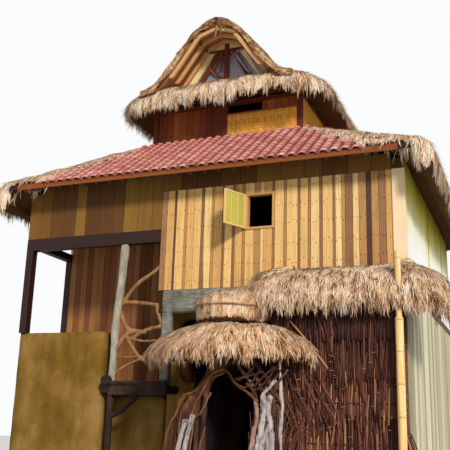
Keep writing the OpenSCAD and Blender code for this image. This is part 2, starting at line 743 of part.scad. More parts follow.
// Porch
module porch_skirt() {
    // Outline of the skirt as radius, and as share of its height
    ring = [[dome_r * 0.6, 0], [dome_r * 1.09, 0.025], [porch_a * 0.72, 0.15], [porch_a * 0.92, 0.41],
        [porch_a, 0.7], [porch_a * 0.987, 1], [porch_a * 0.872, 0.95], [porch_a * 0.79, 0.6],
        [dome_r * 1.18, 0.35], [dome_r * 0.6, 0.3]];
    n = 28;
    color("tan") difference() {
        translate([porch_mid, porch_y, porch_top_z]) loft_round([for (i = [0:n - 1])
            let(a = i * 360 / n) [for (q = ring)
                [q[0] * cos(a), q[0] * sin(a) * porch_b / porch_a, -porch_h * q[1]]]]);
        span([wattle_x0 - stick_d, x_r], [wattle_y - stick_d / 2 - 9, y_low], [0, awning_z]);
    }
}

dome_rim = 25;
// Outline of the dome with a rope round it, as radius and height
dome_line = concat([[dome_r - 30, 0], [dome_r, 60], [dome_r, dome_h * 0.45],
    [dome_r + dome_rim, dome_h * 0.5], [dome_r - 10, dome_h * 0.56]],
    [for (a = [15:15:75]) [dome_r * cos(a), dome_h * (0.56 + 0.44 * sin(a))]],
    [[dome_r * 0.08, dome_h]]);
module porch_dome() {
    n = 32;
    color("tan") difference() {
        translate([porch_mid, porch_y, porch_top_z + seat]) loft([for (q = dome_line)
            [for (k = [0:n - 1]) [q[0] * cos(k * 360 / n), q[0] * sin(k * 360 / n), q[1]]]]);
        awning_shape();
    }
}

// A place in the arch, as shares of its half width and of its height
arch_x = porch_mid + arch_shift;
arch_y = porch_y - porch_b * 0.487;
arch_up = porch_top_z - porch_h * 0.31;
function arch(u, y, v) = [arch_x + arch_w / 2 * u, arch_y + y, arch_z * v];
// A branch of the arch that ends inside the thatch over it
module arch_branch(points, tip, r0, r1) {
    branch(concat([for (q = points) arch(q[0], q[2], q[1])], [[arch_x + tip, arch_y + 20, arch_up]]),
        r0, r1, 2);
}
module porch_arch() {
    color("sienna") difference() {
        arch_branches();
        porch_skirt();
        below_ground();
    }
}
module arch_branches() {
    union() {
        arch_branch([[-1.05, 0, 0], [-1.02, 0.51, 0], [-0.97, 0.8, -10], [-0.88, 0.88, 0],
            [-0.68, 0.94, 0], [-0.16, 1.01, 0]], 20, 50, 32);
        arch_branch([[-1.33, 0, 10], [-1.3, 0.51, -20], [-1.34, 0.69, 0], [-1.2, 0.85, -20],
            [-0.88, 0.94, -20], [-0.34, 1.02, 10]], -40, 48, 32);
        arch_branch([[-1.66, 0, -20], [-1.7, 0.51, 0], [-1.65, 0.68, -30], [-1.46, 0.8, -20],
            [-1.12, 0.91, -30], [-0.55, 1.01, 0]], -110, 50, 32);
        arch_branch([[-2.08, 0, 0], [-2.1, 0.51, -20], [-1.92, 0.64, 10], [-1.65, 0.77, 0],
            [-1.3, 0.88, 0], [-0.76, 0.99, 0]], -180, 50, 30);
        arch_branch([[-2.48, 0, -10], [-2.45, 0.51, 0], [-2.2, 0.62, -10], [-1.95, 0.72, -30],
            [-1.5, 0.84, -30], [-0.95, 0.96, 0]], -260, 46, 30);
        arch_branch([[0.88, 0, 0], [0.96, 0.52, 0], [1.16, 0.71, 0], [1.14, 0.82, -10], [0.95, 0.91, -20],
            [0.35, 1.02, 0]], -30, 44, 30);
        arch_branch([[1.34, 0, 0], [1.43, 0.54, -10], [1.47, 0.73, 0], [1.4, 0.86, 0], [1.05, 0.96, 0],
            [0.55, 1.04, 0]], 40, 42, 28);
        arch_branch([[1.75, 0, 10], [1.84, 0.54, 0], [1.86, 0.76, 10], [1.74, 0.9, 0], [1.3, 0.99, 0],
            [0.9, 1.06, 0]], 150, 42, 28);
        branch([arch(-0.05, -60, 0.99), arch(-0.47, -60, 0.965), arch(-0.87, -60, 0.915),
            arch(-1.3, -60, 0.853), arch(-1.72, -70, 0.832), arch(-1.95, -60, 0.795),
            arch(-2.15, -40, 0.72), arch(-2.45, -30, 0.6)], 18, 22, 2);
        branch([arch(-0.05, -50, 0.975), arch(-0.55, -60, 0.94), arch(-0.8, -60, 0.905),
            arch(-1, -70, 0.853), arch(-1.28, -60, 0.784), arch(-1.5, -40, 0.7)], 16, 20, 2);
        branch([arch(-0.1, -20, 1), arch(0.16, -50, 0.935), arch(0.32, -60, 0.9), arch(0.65, -50, 0.868),
            arch(1.14, -20, 0.815)], 24, 18, 2);
    }
}

module driftwood_trunks() {
    color("gainsboro") difference() {
        trunk_branches();
        arch_branches();
        porch_skirt();
        below_ground();
    }
}
module trunk_branches() {
    union() {
        branch([arch(1.25, -90, 0), arch(1.3, -100, 0.33), arch(1.44, -95, 0.525),
            arch(1.76, -95, 0.67), arch(1.72, -90, 0.76), arch(1.46, -85, 0.83),
            arch(1.75, -95, 0.88), arch(2, -100, 0.925)], 80, 32);
        branch([arch(1.68, -110, 0), arch(1.82, -120, 0.29), arch(1.9, -110, 0.54),
            arch(1.8, -95, 0.67)], 68, 56);
    }
    branch([arch(2.2, -60, 0), arch(2.22, -60, 0.53), arch(2.18, -60, 0.66), arch(2.27, -60, 0.77),
        arch(2.22, -60, 0.83), arch(2.18, -50, 0.93), arch(2.1, -30, 1.09)], 42, 25, 2);
    branch([arch(-1.85, -110, 0), arch(-1.8, -120, 0.3), arch(-1.64, -110, 0.54),
        arch(-1.4, -95, 0.72)], 50, 40);
    branch([arch(-2.3, -100, 0), arch(-2.2, -110, 0.3), arch(-2, -100, 0.5),
        arch(-1.72, -95, 0.69)], 44, 36);
}

// Wattle of upright sticks
wattle_y = y_f - awning_out * 0.727;
wattle_h = awning_z - awning_drop * 0.667;
function stick(i) = stick_d / 2 * (0.86 + 0.14 * sin(i * 137));
module stick_row(n) {
    union() {
        for (i = [0:n - 1]) translate([i * stick_d * 0.94, 8 * sin(i * 77)]) circle(r = stick(i), $fn = 16);
        translate([0, -stick_d * 0.2]) square([(n - 1) * stick_d * 0.94, stick_d * 0.4]);
    }
}
wattle_x0 = arch_x + arch_w / 2 + 180;
wattle_n = floor((x_r + 20 - wattle_x0) / (stick_d * 0.94));
module wattle_wall() {
    color("maroon") translate([wattle_x0, wattle_y, 0]) linear_extrude(wattle_h) stick_row(wattle_n);
}

module wattle_returns() {
    side_n = floor((y_f - wattle_y) / (stick_d * 0.94)) + 1;
    screen_n = floor((y_low - arch_y - 120) / (stick_d * 0.94));
    end_x = wattle_x0 + (wattle_n - 1) * stick_d * 0.94;
    color("maroon") {
        difference() {
            translate([end_x - stick_d * 0.5, y_f - stick_d / 2, 0]) rotate([0, 0, -90])
                linear_extrude(wattle_h - 1) stick_row(side_n);
            wattle_wall();
            span([x_l, end_x + 200], [wattle_y - 300, wattle_y], [-10, far]);
        }
        translate([porch_mid - arch_w / 2 - 100, y_low - stick(0) - seat, 0]) rotate([0, 0, -90])
            linear_extrude(porch_top_z - porch_h - 20) stick_row(screen_n);
    }
}

// Awning that wraps the front corner
awning_t = 300;
// Outline of the awning as shares of its reach and of its height
awning_top = [[0, 0], [0.45, 0.102], [0.74, 0.241], [0.92, 0.444], [1, 0.722]];
awning_under = [[0.99, 1], [0.86, 0.963], [0.74, 0.593], [0.45, 0.407], [0, awning_t / awning_drop]];
function awning_ring(cx, cy, a, k, slant = 0) =
    let(c = cos(a), s = sin(a), line = concat(awning_top, awning_under))
    [for (i = [0:len(line) - 1]) let(out = 2 + awning_out * k * line[i][0], back = i > 4 ? slant : 0)
        [cx + c * out - s * back, cy + s * out, awning_z - awning_drop * line[i][1]]];
module awning_shape() {
    xl = x_r - awning_w;
    loft(concat(
        [awning_ring(xl - 40, y_f, -90, 0.5, 30), awning_ring(xl + 60, y_f, -90, 0.8),
            awning_ring(xl + awning_w * 0.1, y_f, -90, 0.97),
            awning_ring(xl + awning_w * 0.45, y_f, -90, 1), awning_ring(x_r - awning_w * 0.11, y_f, -90, 1)],
        [for (k = [0:5]) awning_ring(x_r, y_f, -90 + 18 * k, 1 - 0.28 * k / 5)],
        [awning_ring(x_r, y_f + awning_side * 0.6, 0, 0.7),
            awning_ring(x_r, y_f + awning_side * 0.9, 0, 0.62),
            awning_ring(x_r, y_f + awning_side, 0, 0.4)]), layer = true);
}
module awning_thatch() {
    xl = x_r - awning_w;
    color("tan") difference() {
        awning_shape();
        bamboo();
        bearer();
        span([x_r - corner_w - seat, x_r + corner_t + seat], [y_f - 25 - 2 * seat, y_f + 120 + seat],
            [upper_z, far]);
        span([xl - 500, x_r - 1], [y_f - 30 - seat, y_f], [0, upper_z]);
    }
}

bamboo_x = x_r + 20;
bamboo_y = y_f - awning_out * 0.918;
bearer_x = wattle_x0 - 60;
bearer_y = wattle_y;
bearer_z = wattle_h + 40;
module bamboo() {
    r = bamboo_d / 2;
    slim_z = awning_z - awning_drop + 20;
    translate([bamboo_x, bamboo_y, 0]) rotate_extrude() polygon(concat([[0, 0], [r, 0]],
        [for (z = [500:500:slim_z - 60]) for (q = [[r, z - 20], [r + 6, z], [r, z + 20]]) q],
        [[r * 0.72, slim_z], [r * 0.72, awning_z], [0, awning_z]]));
}
module bearer() {
    pole([bearer_x, bearer_y, bearer_z], [x_r + 60, bearer_y, bearer_z], 40 - seat);
}
module awning_poles() {
    color("wheat") {
        bamboo();
        bearer();
    }
}

ground_slab();
wing_walls();
hall_wall_left();
hall_wall_right();
door_head();
plank_wall_right();
plank_wall_left();
lower_wall_back();
deck_floor();
balcony_frame();
balcony_rail();
log_post();
wing_frame();
wing_boards();
veranda_wall();
lintel_frame();
upper_floor();
board_wall_front();
eave_band();
corner_board();
room_side_wall();
panel_wall_right();
panel_wall_left();
board_wall_back();
window_frame();
window_leaf();
eave_fascia();
eave_rafters();
tile_roof();
side_thatch();
attic_floor();
attic_frame();
attic_mats();
attic_boards();
attic_skirt();
gable_thatch();
gable_ribs();
gable_frame();
gable_truss();
gable_glass();
porch_skirt();
porch_dome();
porch_arch();
driftwood_trunks();
wattle_wall();
wattle_returns();
awning_thatch();
awning_poles();
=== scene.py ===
import random
from math import ceil, copysign, cos, hypot, pi, radians, sin

import bpy
from mathutils import Matrix, Vector, noise
from mathutils.bvhtree import BVHTree


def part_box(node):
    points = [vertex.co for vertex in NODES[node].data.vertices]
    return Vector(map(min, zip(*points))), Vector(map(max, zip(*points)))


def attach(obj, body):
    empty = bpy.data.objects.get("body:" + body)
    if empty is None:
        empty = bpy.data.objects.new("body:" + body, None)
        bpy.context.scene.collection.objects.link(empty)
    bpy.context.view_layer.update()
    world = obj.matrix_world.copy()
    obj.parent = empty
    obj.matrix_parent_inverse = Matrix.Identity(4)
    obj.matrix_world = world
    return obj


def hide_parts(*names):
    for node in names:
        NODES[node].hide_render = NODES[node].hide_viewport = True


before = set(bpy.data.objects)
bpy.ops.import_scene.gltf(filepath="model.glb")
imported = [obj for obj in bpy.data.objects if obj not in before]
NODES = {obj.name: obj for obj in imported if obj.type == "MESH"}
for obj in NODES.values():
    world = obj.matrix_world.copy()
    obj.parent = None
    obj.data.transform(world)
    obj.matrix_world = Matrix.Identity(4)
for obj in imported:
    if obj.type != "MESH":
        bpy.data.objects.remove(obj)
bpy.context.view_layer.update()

BODY = "root"
UP = Vector((0, 0, 1))


# Colours and finishes

def rgb(code):
    """A web colour code as the linear values that a shader uses."""
    parts = [int(code[i:i + 2], 16) / 255 for i in (0, 2, 4)]
    return [c / 12.92 if c < 0.04045 else ((c + 0.055) / 1.055) ** 2.4 for c in parts] + [1]


def clamp(value, lo=0.0, hi=1.0):
    return min(max(value, lo), hi)


class Graph:
    """A tree of shader nodes in the making."""

    def __init__(self, tree):
        self.tree = tree

    def add(self, kind, inputs=(), **settings):
        node = self.tree.nodes.new("ShaderNode" + kind)
        for key, value in settings.items():
            setattr(node, key, value)
        for key, value in dict(inputs).items():
            if isinstance(value, bpy.types.NodeSocket):
                self.tree.links.new(value, node.inputs[key])
            else:
                node.inputs[key].default_value = value
        return node

    def math(self, operation, a, b=0.0):
        return self.add("Math", {0: a, 1: b}, operation=operation).outputs[0]


class Finish(Graph):
    """A node material in the making. base is its colour so far."""

    def __init__(self, name, rough, specular=0.3):
        self.mat = bpy.data.materials.new(name)
        self.mat.use_nodes = True
        super().__init__(self.mat.node_tree)
        self.base = None
        self.bsdf = self.tree.nodes["Principled BSDF"]
        self.bsdf.inputs["Roughness"].default_value = rough
        self.bsdf.inputs["Specular IOR Level"].default_value = specular

    def value(self, name):
        return self.add("Attribute", attribute_name=name).outputs["Fac"]

    def place(self, scale=(1, 1, 1), shift=None):
        """Object coordinates, stretched, and moved for each board or tile by its own value."""
        out = self.add("TexCoord").outputs["Object"]
        if shift is not None:
            offset = self.add("VectorMath", {0: shift, 1: (37.0, 19.0, 53.0)}, operation="MULTIPLY")
            out = self.add("VectorMath", {0: out, 1: offset.outputs[0]}).outputs[0]
        return self.add("Mapping", {"Vector": out, "Scale": scale}).outputs[0]

    def axis(self, i):
        return self.add("SeparateXYZ", {0: self.place()}).outputs[i]

    def noise(self, scale, detail=4.0, rough=0.6, warp=0.0, shift=None):
        return self.add("TexNoise", {"Vector": self.place(scale, shift), "Scale": 1.0, "Detail": detail,
                                     "Roughness": rough, "Distortion": warp}).outputs["Fac"]

    def ramp(self, value, stops):
        """A colour ramp. stops holds places and tones by turns, each tone a web colour or a grey."""
        node = self.add("ValToRGB", {"Fac": value})
        points, words = node.color_ramp.elements, stops.split()
        while len(points) < len(words) // 2:
            points.new(0.5)
        for point, place, tone in zip(points, words[::2], words[1::2]):
            point.position = float(place)
            point.color = rgb(tone) if len(tone) == 6 else [float(tone)] * 3 + [1]
        return node.outputs["Color"]

    def lay(self, colour, share, mode="MIX"):
        self.base = self.add("Mix", {0: share, 6: self.base, 7: colour}, data_type="RGBA",
                             blend_type=mode).outputs[2]

    def shade(self, value, stops, share):
        """Darkens the colour so far by a ramp."""
        self.lay(self.ramp(value, stops), share, "MULTIPLY")

    def done(self, height=None, strength=0.5, distance=0.01):
        self.tree.links.new(self.base, self.bsdf.inputs["Base Color"])
        if height is not None:
            bump = self.add("Bump", {"Height": height, "Strength": strength, "Distance": distance})
            self.tree.links.new(bump.outputs[0], self.bsdf.inputs["Normal"])
        return self.mat


def wood(name, tones, grain=(45, 45, 1.6), rough=0.72, knots=0.0, stain=0.25, planks=0.0):
    """Sawn wood. tones run over the board's own value, and grain is fine across and long along.
    planks is the width of the boards along X that the finish itself shows."""
    f = Finish(name, rough)
    shift = f.value("tint")
    if planks:
        place = f.math("DIVIDE", f.axis(0), planks)
        shift = f.add("TexWhiteNoise", {"W": f.math("FLOOR", place)}, noise_dimensions="1D").outputs["Value"]
    f.base = f.ramp(shift, tones)
    lines = f.noise(grain, 6, 0.65, 0.4, shift)
    f.shade(lines, "0.3 0.45 0.62 1", stain + 0.2)
    f.shade(f.noise([g * 0.12 for g in grain], 3, shift=shift), "0.3 0.6 0.7 1", stain)
    if knots:
        spots = f.add("TexVoronoi", {"Vector": f.place([g * knots * 0.1 for g in grain], shift), "Scale": 1.0})
        f.shade(spots.outputs["Distance"], "0 3A2012 0.07 6A4426 0.14 1", 0.8)
    if planks:
        f.shade(f.math("FRACT", place), "0 0.05 0.06 1", 1.0)
    return f.done(lines, 0.5, 0.004)


def bark(name, tones, scale=(26, 26, 5), depth=0.01, cracks=0.0):
    """Bark or dry wood with ridges along it, and with dark cracks where cracks is their strength."""
    f = Finish(name, 0.88, 0.2)
    tint = f.value("tint")
    ridges = f.noise(scale, 8, 0.7, 1.2)
    f.base = f.ramp(f.noise((2.4, 2.4, 1.5), 3, shift=tint), tones)
    f.shade(ridges, "0.32 0.28 0.55 0.95 0.75 1", 0.75)
    if cracks:
        splits = f.noise([s * 0.7 for s in scale], 3, warp=0.6, shift=tint)
        f.shade(splits, "0.36 0.12 0.44 0.85 0.5 1", cracks)
    return f.done(ridges, 0.9, depth)


def thatch(name, dark, mid, light):
    """Straw. Strands carry their own tint and how far along them a point is, and each is darker towards its root,
    as painted shade where it lies under the strands above. The layer under them carries how dark it is, as painted
    shade."""
    f = Finish(name, 0.9, 0.15)
    streaks = f.noise((48, 48, 6), 6, 0.75, 0.3)
    f.base = f.ramp(f.value("tint"), f"0 {dark} 0.48 {mid} 1 {light}")
    f.shade(streaks, "0.3 0.5 0.6 1", 0.4)
    f.shade(f.noise((1.3, 1.3, 1.8), 4, 0.65), "0.34 0.72 0.6 1", 0.45)
    # Painted shade: darker towards the root of each strand.
    f.shade(f.value("along"), "0 0.72 0.4 0.97 1 1", 0.7)
    return f.done(streaks, 0.8, 0.02)


def plaster(name, tones, dark_and_painted_shade=None):
    """Clay plaster. Its last argument is a place and a half width along the wall that is painted dark, as painted
    shade inside the porch.
    """
    f = Finish(name, 0.92, 0.15)
    clouds = f.noise((1.6, 1.6, 1.2), 6, 0.62, 0.2)
    fine = f.noise((38, 38, 38), 5)
    f.base = f.ramp(clouds, tones)
    f.shade(f.noise((5, 5, 0.5)), "0.35 0.62 0.6 1", 0.55)
    f.shade(fine, "0.3 0.8 0.7 1", 0.5)
    # Painted shade: a dark band along the wall where the porch shades it.
    if dark_and_painted_shade:
        drift = f.math("ADD", f.axis(0), f.math("MULTIPLY", clouds, 0.3))
        away = f.math("ABSOLUTE", f.math("SUBTRACT", drift, dark_and_painted_shade[0] + 0.15))
        f.shade(f.math("DIVIDE", away, dark_and_painted_shade[1]), "0.8 4C3E48 1 1", 1.0)
    return f.done(fine, 0.6, 0.012)


def tiles(name):
    """Clay tiles. tint is the tone of each tile, and along is 1 on its crest and 0 in its valley: crests and lower
    edges get painted highlight, and valleys and the part under the next course get painted shade.
    """
    f = Finish(name, 0.66)
    tint = f.value("tint")
    f.base = f.ramp(tint, "0 A8483E 0.4 DA7668 0.75 F29A88 1 FFD0C2")
    dust = f.noise((9, 9, 9), 5, shift=tint)
    f.lay(f.ramp(dust, "0.35 CC8478 0.6 F2CCC2"), 0.25)
    # Painted highlight and painted shade from along.
    f.shade(f.value("along"), "0 0.04 0.35 0.2 0.7 0.85 1 1", 0.92)
    return f.done(dust, 0.4, 0.006)


def pane(name):
    f = Finish(name, 0.22, 0.5)
    # Painted reflection: grey violet clouds for what the glass reflects.
    f.base = f.ramp(f.noise((1.5, 1.5, 1.1), 3), "0.3 6E6A78 0.7 9A93A2")
    return f.done()


def panel(name):
    """Matt white panel, with painted shade and painted yellow green reflected light towards its top, under the
    eaves.
    """
    f = Finish(name, 0.55)
    height = f.math("ADD", f.axis(2), f.math("MULTIPLY", f.noise((0.7, 0.7, 0.5), 3), 1.2))
    fade = f.math("MULTIPLY", f.math("SUBTRACT", height, 5.65), 0.6)
    f.base = f.ramp(fade, "0 F0F0EE 0.3 ECEACC 0.6 D8CC4C 1 9E8E18")
    f.shade(f.noise((3, 3, 0.4), 5), "0.3 0.82 0.6 1", 0.4)
    return f.done(f.noise((60, 60, 60)), 0.15, 0.003)


def bamboo(name):
    f = Finish(name, 0.5, 0.4)
    f.base = f.ramp(f.noise((40, 40, 1.2), 5), "0.3 D09A54 0.55 EEC888 0.8 F8DEAC")
    step = f.math("FRACT", f.math("MULTIPLY", f.axis(2), 2.0))
    f.shade(f.math("ABSOLUTE", f.math("SUBTRACT", step, 0.5)), "0.46 1 0.475 0.55 0.5 0.75", 0.8)
    return f.done(f.noise((60, 60, 1.0)), 0.2, 0.003)


HONEY = "0 5A3C30 0.12 7E5440 0.3 A87A50 0.5 CE9A5A 0.7 EAB66E 0.85 F6C880 1 FAD896"
DARK = "0 2A120C 0.5 4A2115 1 6E3520"
ACROSS, EVEN, MATTED = (1.6, 45, 45), (20, 20, 20), (70, 70, 3)
M = {
    "honey": wood("honey_boards", HONEY, knots=1.0, stain=0.42),
    "honey_across": wood("honey_boards_across", HONEY, ACROSS),
    "shade": wood("shaded_boards", "0 4A2A0C 0.5 6A4214 1 8A6424", stain=0.35),
    "olive": wood("olive_boards", "0 B0A444 1 D0C458", stain=0.3),
    "frame": wood("window_wood", "0 CC9A5C 1 F0C88C", knots=0.6, stain=0.3),
    "attic": wood("attic_boards_red", "0 6A2E18 0.5 96481F 1 B46A34", stain=0.45, planks=0.16),
    "char": bark("dark_bark", "0.3 1C1412 0.55 34261E 0.8 5E483A"),
    "rafter": wood("rafter_wood", "0 4A2E18 1 7A5030", EVEN, stain=0.4),
    "lining": wood("roof_lining", "0 9A6638 1 C48E58", (40, 3, 40), stain=0.4),
    # Near black sticks: painted shade on the porch's sides, and the dark joints of the panels.
    "dark_and_painted_shade": bark("dark_sticks_and_painted_shade", "0.3 120A0C 0.6 24161A 0.8 3A2428"),
    "dark": wood("dark_timber", DARK, rough=0.6),
    "dark_across": wood("dark_timber_across", DARK, ACROSS, 0.6),
    "maroon": wood("maroon_boards", "0 6E3C20 0.5 9C5E32 1 C08A50", stain=0.45),
    "gable_cream": wood("gable_panels", "0 F4D89A 1 FFEFC4", stain=0.15),
    "cream": wood("pale_softwood", "0 F4D6B0 1 FAECD6", knots=0.6, stain=0.12),
    "orange": wood("orange_timber", "0 8C4A1E 0.5 A9602B 1 C98A4C", ACROSS),
    "red": wood("red_boards", "0 6A2A14 0.5 96461E 1 BC7034", stain=0.35),
    "poles": wood("light_poles", "0 DCA66E 1 F8D8A8", EVEN, stain=0.3),
    "grey": wood("weathered_planks", "0 A09878 0.5 D2C8A2 1 F0EACC", stain=0.6, knots=0.5),
    "lintel": bark("rough_grey_log", "0.3 5C6058 0.55 908C80 0.8 C2BAAA", (4, 30, 30), cracks=0.6),
    "driftwood": bark("driftwood", "0.3 8C7C7A 0.5 B8AAA8 0.75 DCD2CC", (34, 34, 6), 0.02, 0.9),
    "branch": bark("rail_branches", "0.3 74502F 0.55 A47850 0.8 C69C70"),
    "post": bark("grey_post", "0.3 8A8272 0.55 AEA694 0.8 C8C0AE"),
    "vine": bark("arch_vine", "0.3 4A2814 0.55 7E4E2A 0.8 B8864E"),
    "rosy_stem": bark("rosy_stem", "0.3 7A5246 0.55 AA8474 0.8 CDB0A0", (40, 40, 6), cracks=0.7),
    "bark": bark("arch_bark", "0.3 2E1A14 0.5 58382A 0.72 94694A", (34, 34, 4)),
    "wattle": wood("wattle_bark", "0 280F0A 0.4 572C1E 0.75 86503A 1 B8845E", (70, 70, 6), stain=0.3),
    "tie": bark("tie_bark", "0.3 8A6244 0.55 B08A66 0.8 D8BC98", (30, 30, 30)),
    "thatch": thatch("thatch", "6E3E22", "F6C89C", "FFF2DC"),
    "thatch_rosy": thatch("thatch_rosy", "78401E", "F2BC88", "FFECD0"),
    "thatch_brown": thatch("thatch_brown", "3E2010", "B87E4E", "FCDCB0"),
    "thatch_under": thatch("thatch_under", "24120A", "946038", "DCB088"),
    "tiles": tiles("clay_tiles"),
    # clay_plaster gets painted shade in a band along the wall inside the porch.
    "plaster": plaster("clay_plaster", "0.3 684A16 0.45 7C5C22 0.6 92703A 0.75 A88A54", (1.05, 0.85)),
    "clay": plaster("back_plaster", "0.3 745426 0.45 80622E 0.6 8E7038 0.75 9A7E48"),
    "slab": plaster("ground_screed", "0.3 6E6A62 0.7 9A968C"),
    "mat": wood("golden_mat", "0 F0962A 0.5 FFC050 1 FFE090", MATTED),
    "mat_under": wood("mat_back", "0 6A4210 1 7E5218", MATTED),
    "pane": pane("pane_painted_reflection"),
    "panel": panel("white_panel"),
    "bamboo": bamboo("bamboo"),
}


# Mesh building

class Piece:
    """Collects the mesh of one piece, with a tint for each part and the place along it. Tubes make it
    smooth."""

    def __init__(self):
        self.points, self.faces, self.tint, self.along, self.smooth = [], [], [], [], False

    def put(self, points, faces, tint=0.5, along=0.5):
        n, first = len(points), len(self.points)
        self.points.extend(points)
        self.faces.extend([[first + i for i in f] for f in faces])
        self.tint.extend([tint] * n)
        self.along.extend([along] * n if isinstance(along, (int, float)) else along)

    def box(self, lo, hi, tint=0.5, turn=None):
        p = [Vector((x, y, z)) for x in (lo[0], hi[0]) for y in (lo[1], hi[1]) for z in (lo[2], hi[2])]
        if turn is not None:
            p = [turn @ q for q in p]
        self.put(p, [(0, 1, 3, 2), (4, 6, 7, 5), (0, 4, 5, 1), (2, 3, 7, 6), (0, 2, 6, 4), (1, 5, 7, 3)], tint)

    def tube(self, path, radii, sides, tint, rough=0.0, rand=None):
        """A closed tube along a path. radii is one number, a list with one for each point, or the first and
        the last of an even taper."""
        n = len(path)
        if isinstance(radii, tuple):
            radii = [radii[0] + (radii[1] - radii[0]) * i / (n - 1) for i in range(n)]
        elif not isinstance(radii, list):
            radii = [radii] * n
        ref = None
        points, along = [], []
        for i in range(n):
            way = (path[min(i + 1, n - 1)] - path[max(i - 1, 0)]).normalized()
            if ref is None:
                ref = way.orthogonal().normalized()
            side = (ref - way * ref.dot(way)).normalized()
            ref, other = side, way.cross(side)
            for k in range(sides):
                a = 2 * pi * k / sides
                r = radii[i] * (1 + (rand.uniform(-rough, rough) if rough else 0))
                points.append(path[i] + r * (cos(a) * side + sin(a) * other))
                along.append(i / (n - 1))
        faces = [(i + k, i + (k + 1) % sides, i + sides + (k + 1) % sides, i + sides + k)
                 for i in range(0, (n - 1) * sides, sides) for k in range(sides)]
        faces.append(tuple(range(sides - 1, -1, -1)))
        faces.append(tuple((n - 1) * sides + k for k in range(sides)))
        self.put(points, faces, tint, along)
        self.smooth = True

    def make(self, name, slot, material, replaces=(), bevel=0.0):
        obj = mesh_object(name, self.points, self.faces)
        set_values(obj.data, self.tint, self.along)
        obj.data.update()
        return dress(obj, material, replaces, self.smooth, bevel)


def strip(n):
    """The faces of a flat strip of n parts whose points lie in pairs."""
    return [(k, k + 1, k + 3, k + 2) for k in range(0, 2 * n, 2)]


def new_object(name, data):
    obj = bpy.data.objects.new(name, data)
    bpy.context.scene.collection.objects.link(obj)
    return obj


def mesh_object(name, points, faces):
    mesh = bpy.data.meshes.new(name)
    mesh.from_pydata([tuple(p) for p in points], [], faces)
    return new_object(name, mesh)


def set_values(mesh, tint, along):
    for key, values in (("tint", tint), ("along", along)):
        mesh.attributes.new(key, "FLOAT", "POINT").data.foreach_set("value", values)


def dress(obj, material, replaces=(), smooth=False, bevel=0.0):
    obj.data.materials.clear()
    obj.data.materials.append(M[material])
    if smooth:
        obj.data.polygons.foreach_set("use_smooth", [True] * len(obj.data.polygons))
    if bevel:
        mod = obj.modifiers.new("edges", "BEVEL")
        mod.width, mod.segments, mod.limit_method = bevel, 1, "ANGLE"
    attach(obj, BODY)
    if replaces:
        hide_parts(*([replaces] if isinstance(replaces, str) else replaces))
    return obj


def curve(points, steps=5):
    """A smooth path through points."""
    p = [Vector(q) for q in points]
    out = []
    for i in range(len(p) - 1):
        a, b, c, d = p[max(i - 1, 0)], p[i], p[i + 1], p[min(i + 2, len(p) - 1)]
        for k in range(steps):
            t = k / steps
            out.append(0.5 * (2 * b + (c - a) * t + (2 * a - 5 * b + 4 * c - d) * t * t
                              + (3 * b - a - 3 * c + d) * t * t * t))
    return out + [p[-1]]


def shape_of(mesh):
    """Points and triangles of a mesh, in metres."""
    mesh.calc_loop_triangles()
    return [v.co.copy() for v in mesh.vertices], [tuple(t.vertices) for t in mesh.loop_triangles]


def places_of(text):
    """Points from lengths in centimetres, with a comma between points."""
    return [[float(v) / 100 for v in point.split()] for point in text.split(",")]


def cad_tree(node):
    return BVHTree.FromPolygons(*shape_of(NODES[node].data))


def remeshed(name, node, voxel, rounds=2):
    """A copy of a CAD node as an even, slightly rounded mesh, ready to be worked on."""
    obj = mesh_object(name, *shape_of(NODES[node].data))
    mesh = obj.data
    weld = obj.modifiers.new("weld", "WELD")
    weld.merge_threshold = 0.0005
    mod = obj.modifiers.new("voxels", "REMESH")
    mod.mode, mod.voxel_size = "VOXEL", voxel
    soft = obj.modifiers.new("smooth", "SMOOTH")
    soft.factor, soft.iterations = 0.5, rounds
    dg = bpy.context.evaluated_depsgraph_get()
    obj.data = bpy.data.meshes.new_from_object(obj.evaluated_get(dg))
    obj.modifiers.clear()
    bpy.data.meshes.remove(mesh)
    obj.data.name = name
    return obj


def roughen(obj, amount, size, seed, stretch=(1, 1, 1)):
    """Moves the points of a mesh in and out along their normals by smooth noise."""
    shift = Vector((seed * 7.3, seed * 3.1, seed * 5.7))
    moved = []
    for v in obj.data.vertices:
        p = Vector((v.co.x * stretch[0], v.co.y * stretch[1], v.co.z * stretch[2])) / size + shift
        q = v.co + v.normal * amount * (noise.noise(p) + 0.5 * noise.noise(p * 2.3))
        moved.extend((q.x, q.y, max(0.0, q.z)))
    obj.data.vertices.foreach_set("co", moved)
    obj.data.update()
    return obj


def organic(name, node, material, voxel, amount, size, stretch=(1, 1, 0.4)):
    """A natural branch or log: the CAD shape with uneven sides."""
    obj = roughen(remeshed(name, node, voxel), amount, size, 1, stretch)
    return dress(obj, material, node, smooth=True)


# Thatch

LIFT = 0.014  # how far strands may lie above their layer, in metres
STIFF = 0.2  # how much a free strand turns down at each step
UNDERSIDE = -0.25  # what looks further down than this is hidden
WIDE, FINE = 7, 17  # how closely clumps of straw follow each other, broad and narrow


def away_from(lo, hi):
    """A test for what faces away from a box in plan, which leaves the hidden side of a fringe bare."""
    def test(p, n):
        dx, dy = p.x - clamp(p.x, lo.x, hi.x), p.y - clamp(p.y, lo.y, hi.y)
        return n.z > 0.5 or n.x * dx + n.y * dy > -0.1 * hypot(dx, dy)
    return test


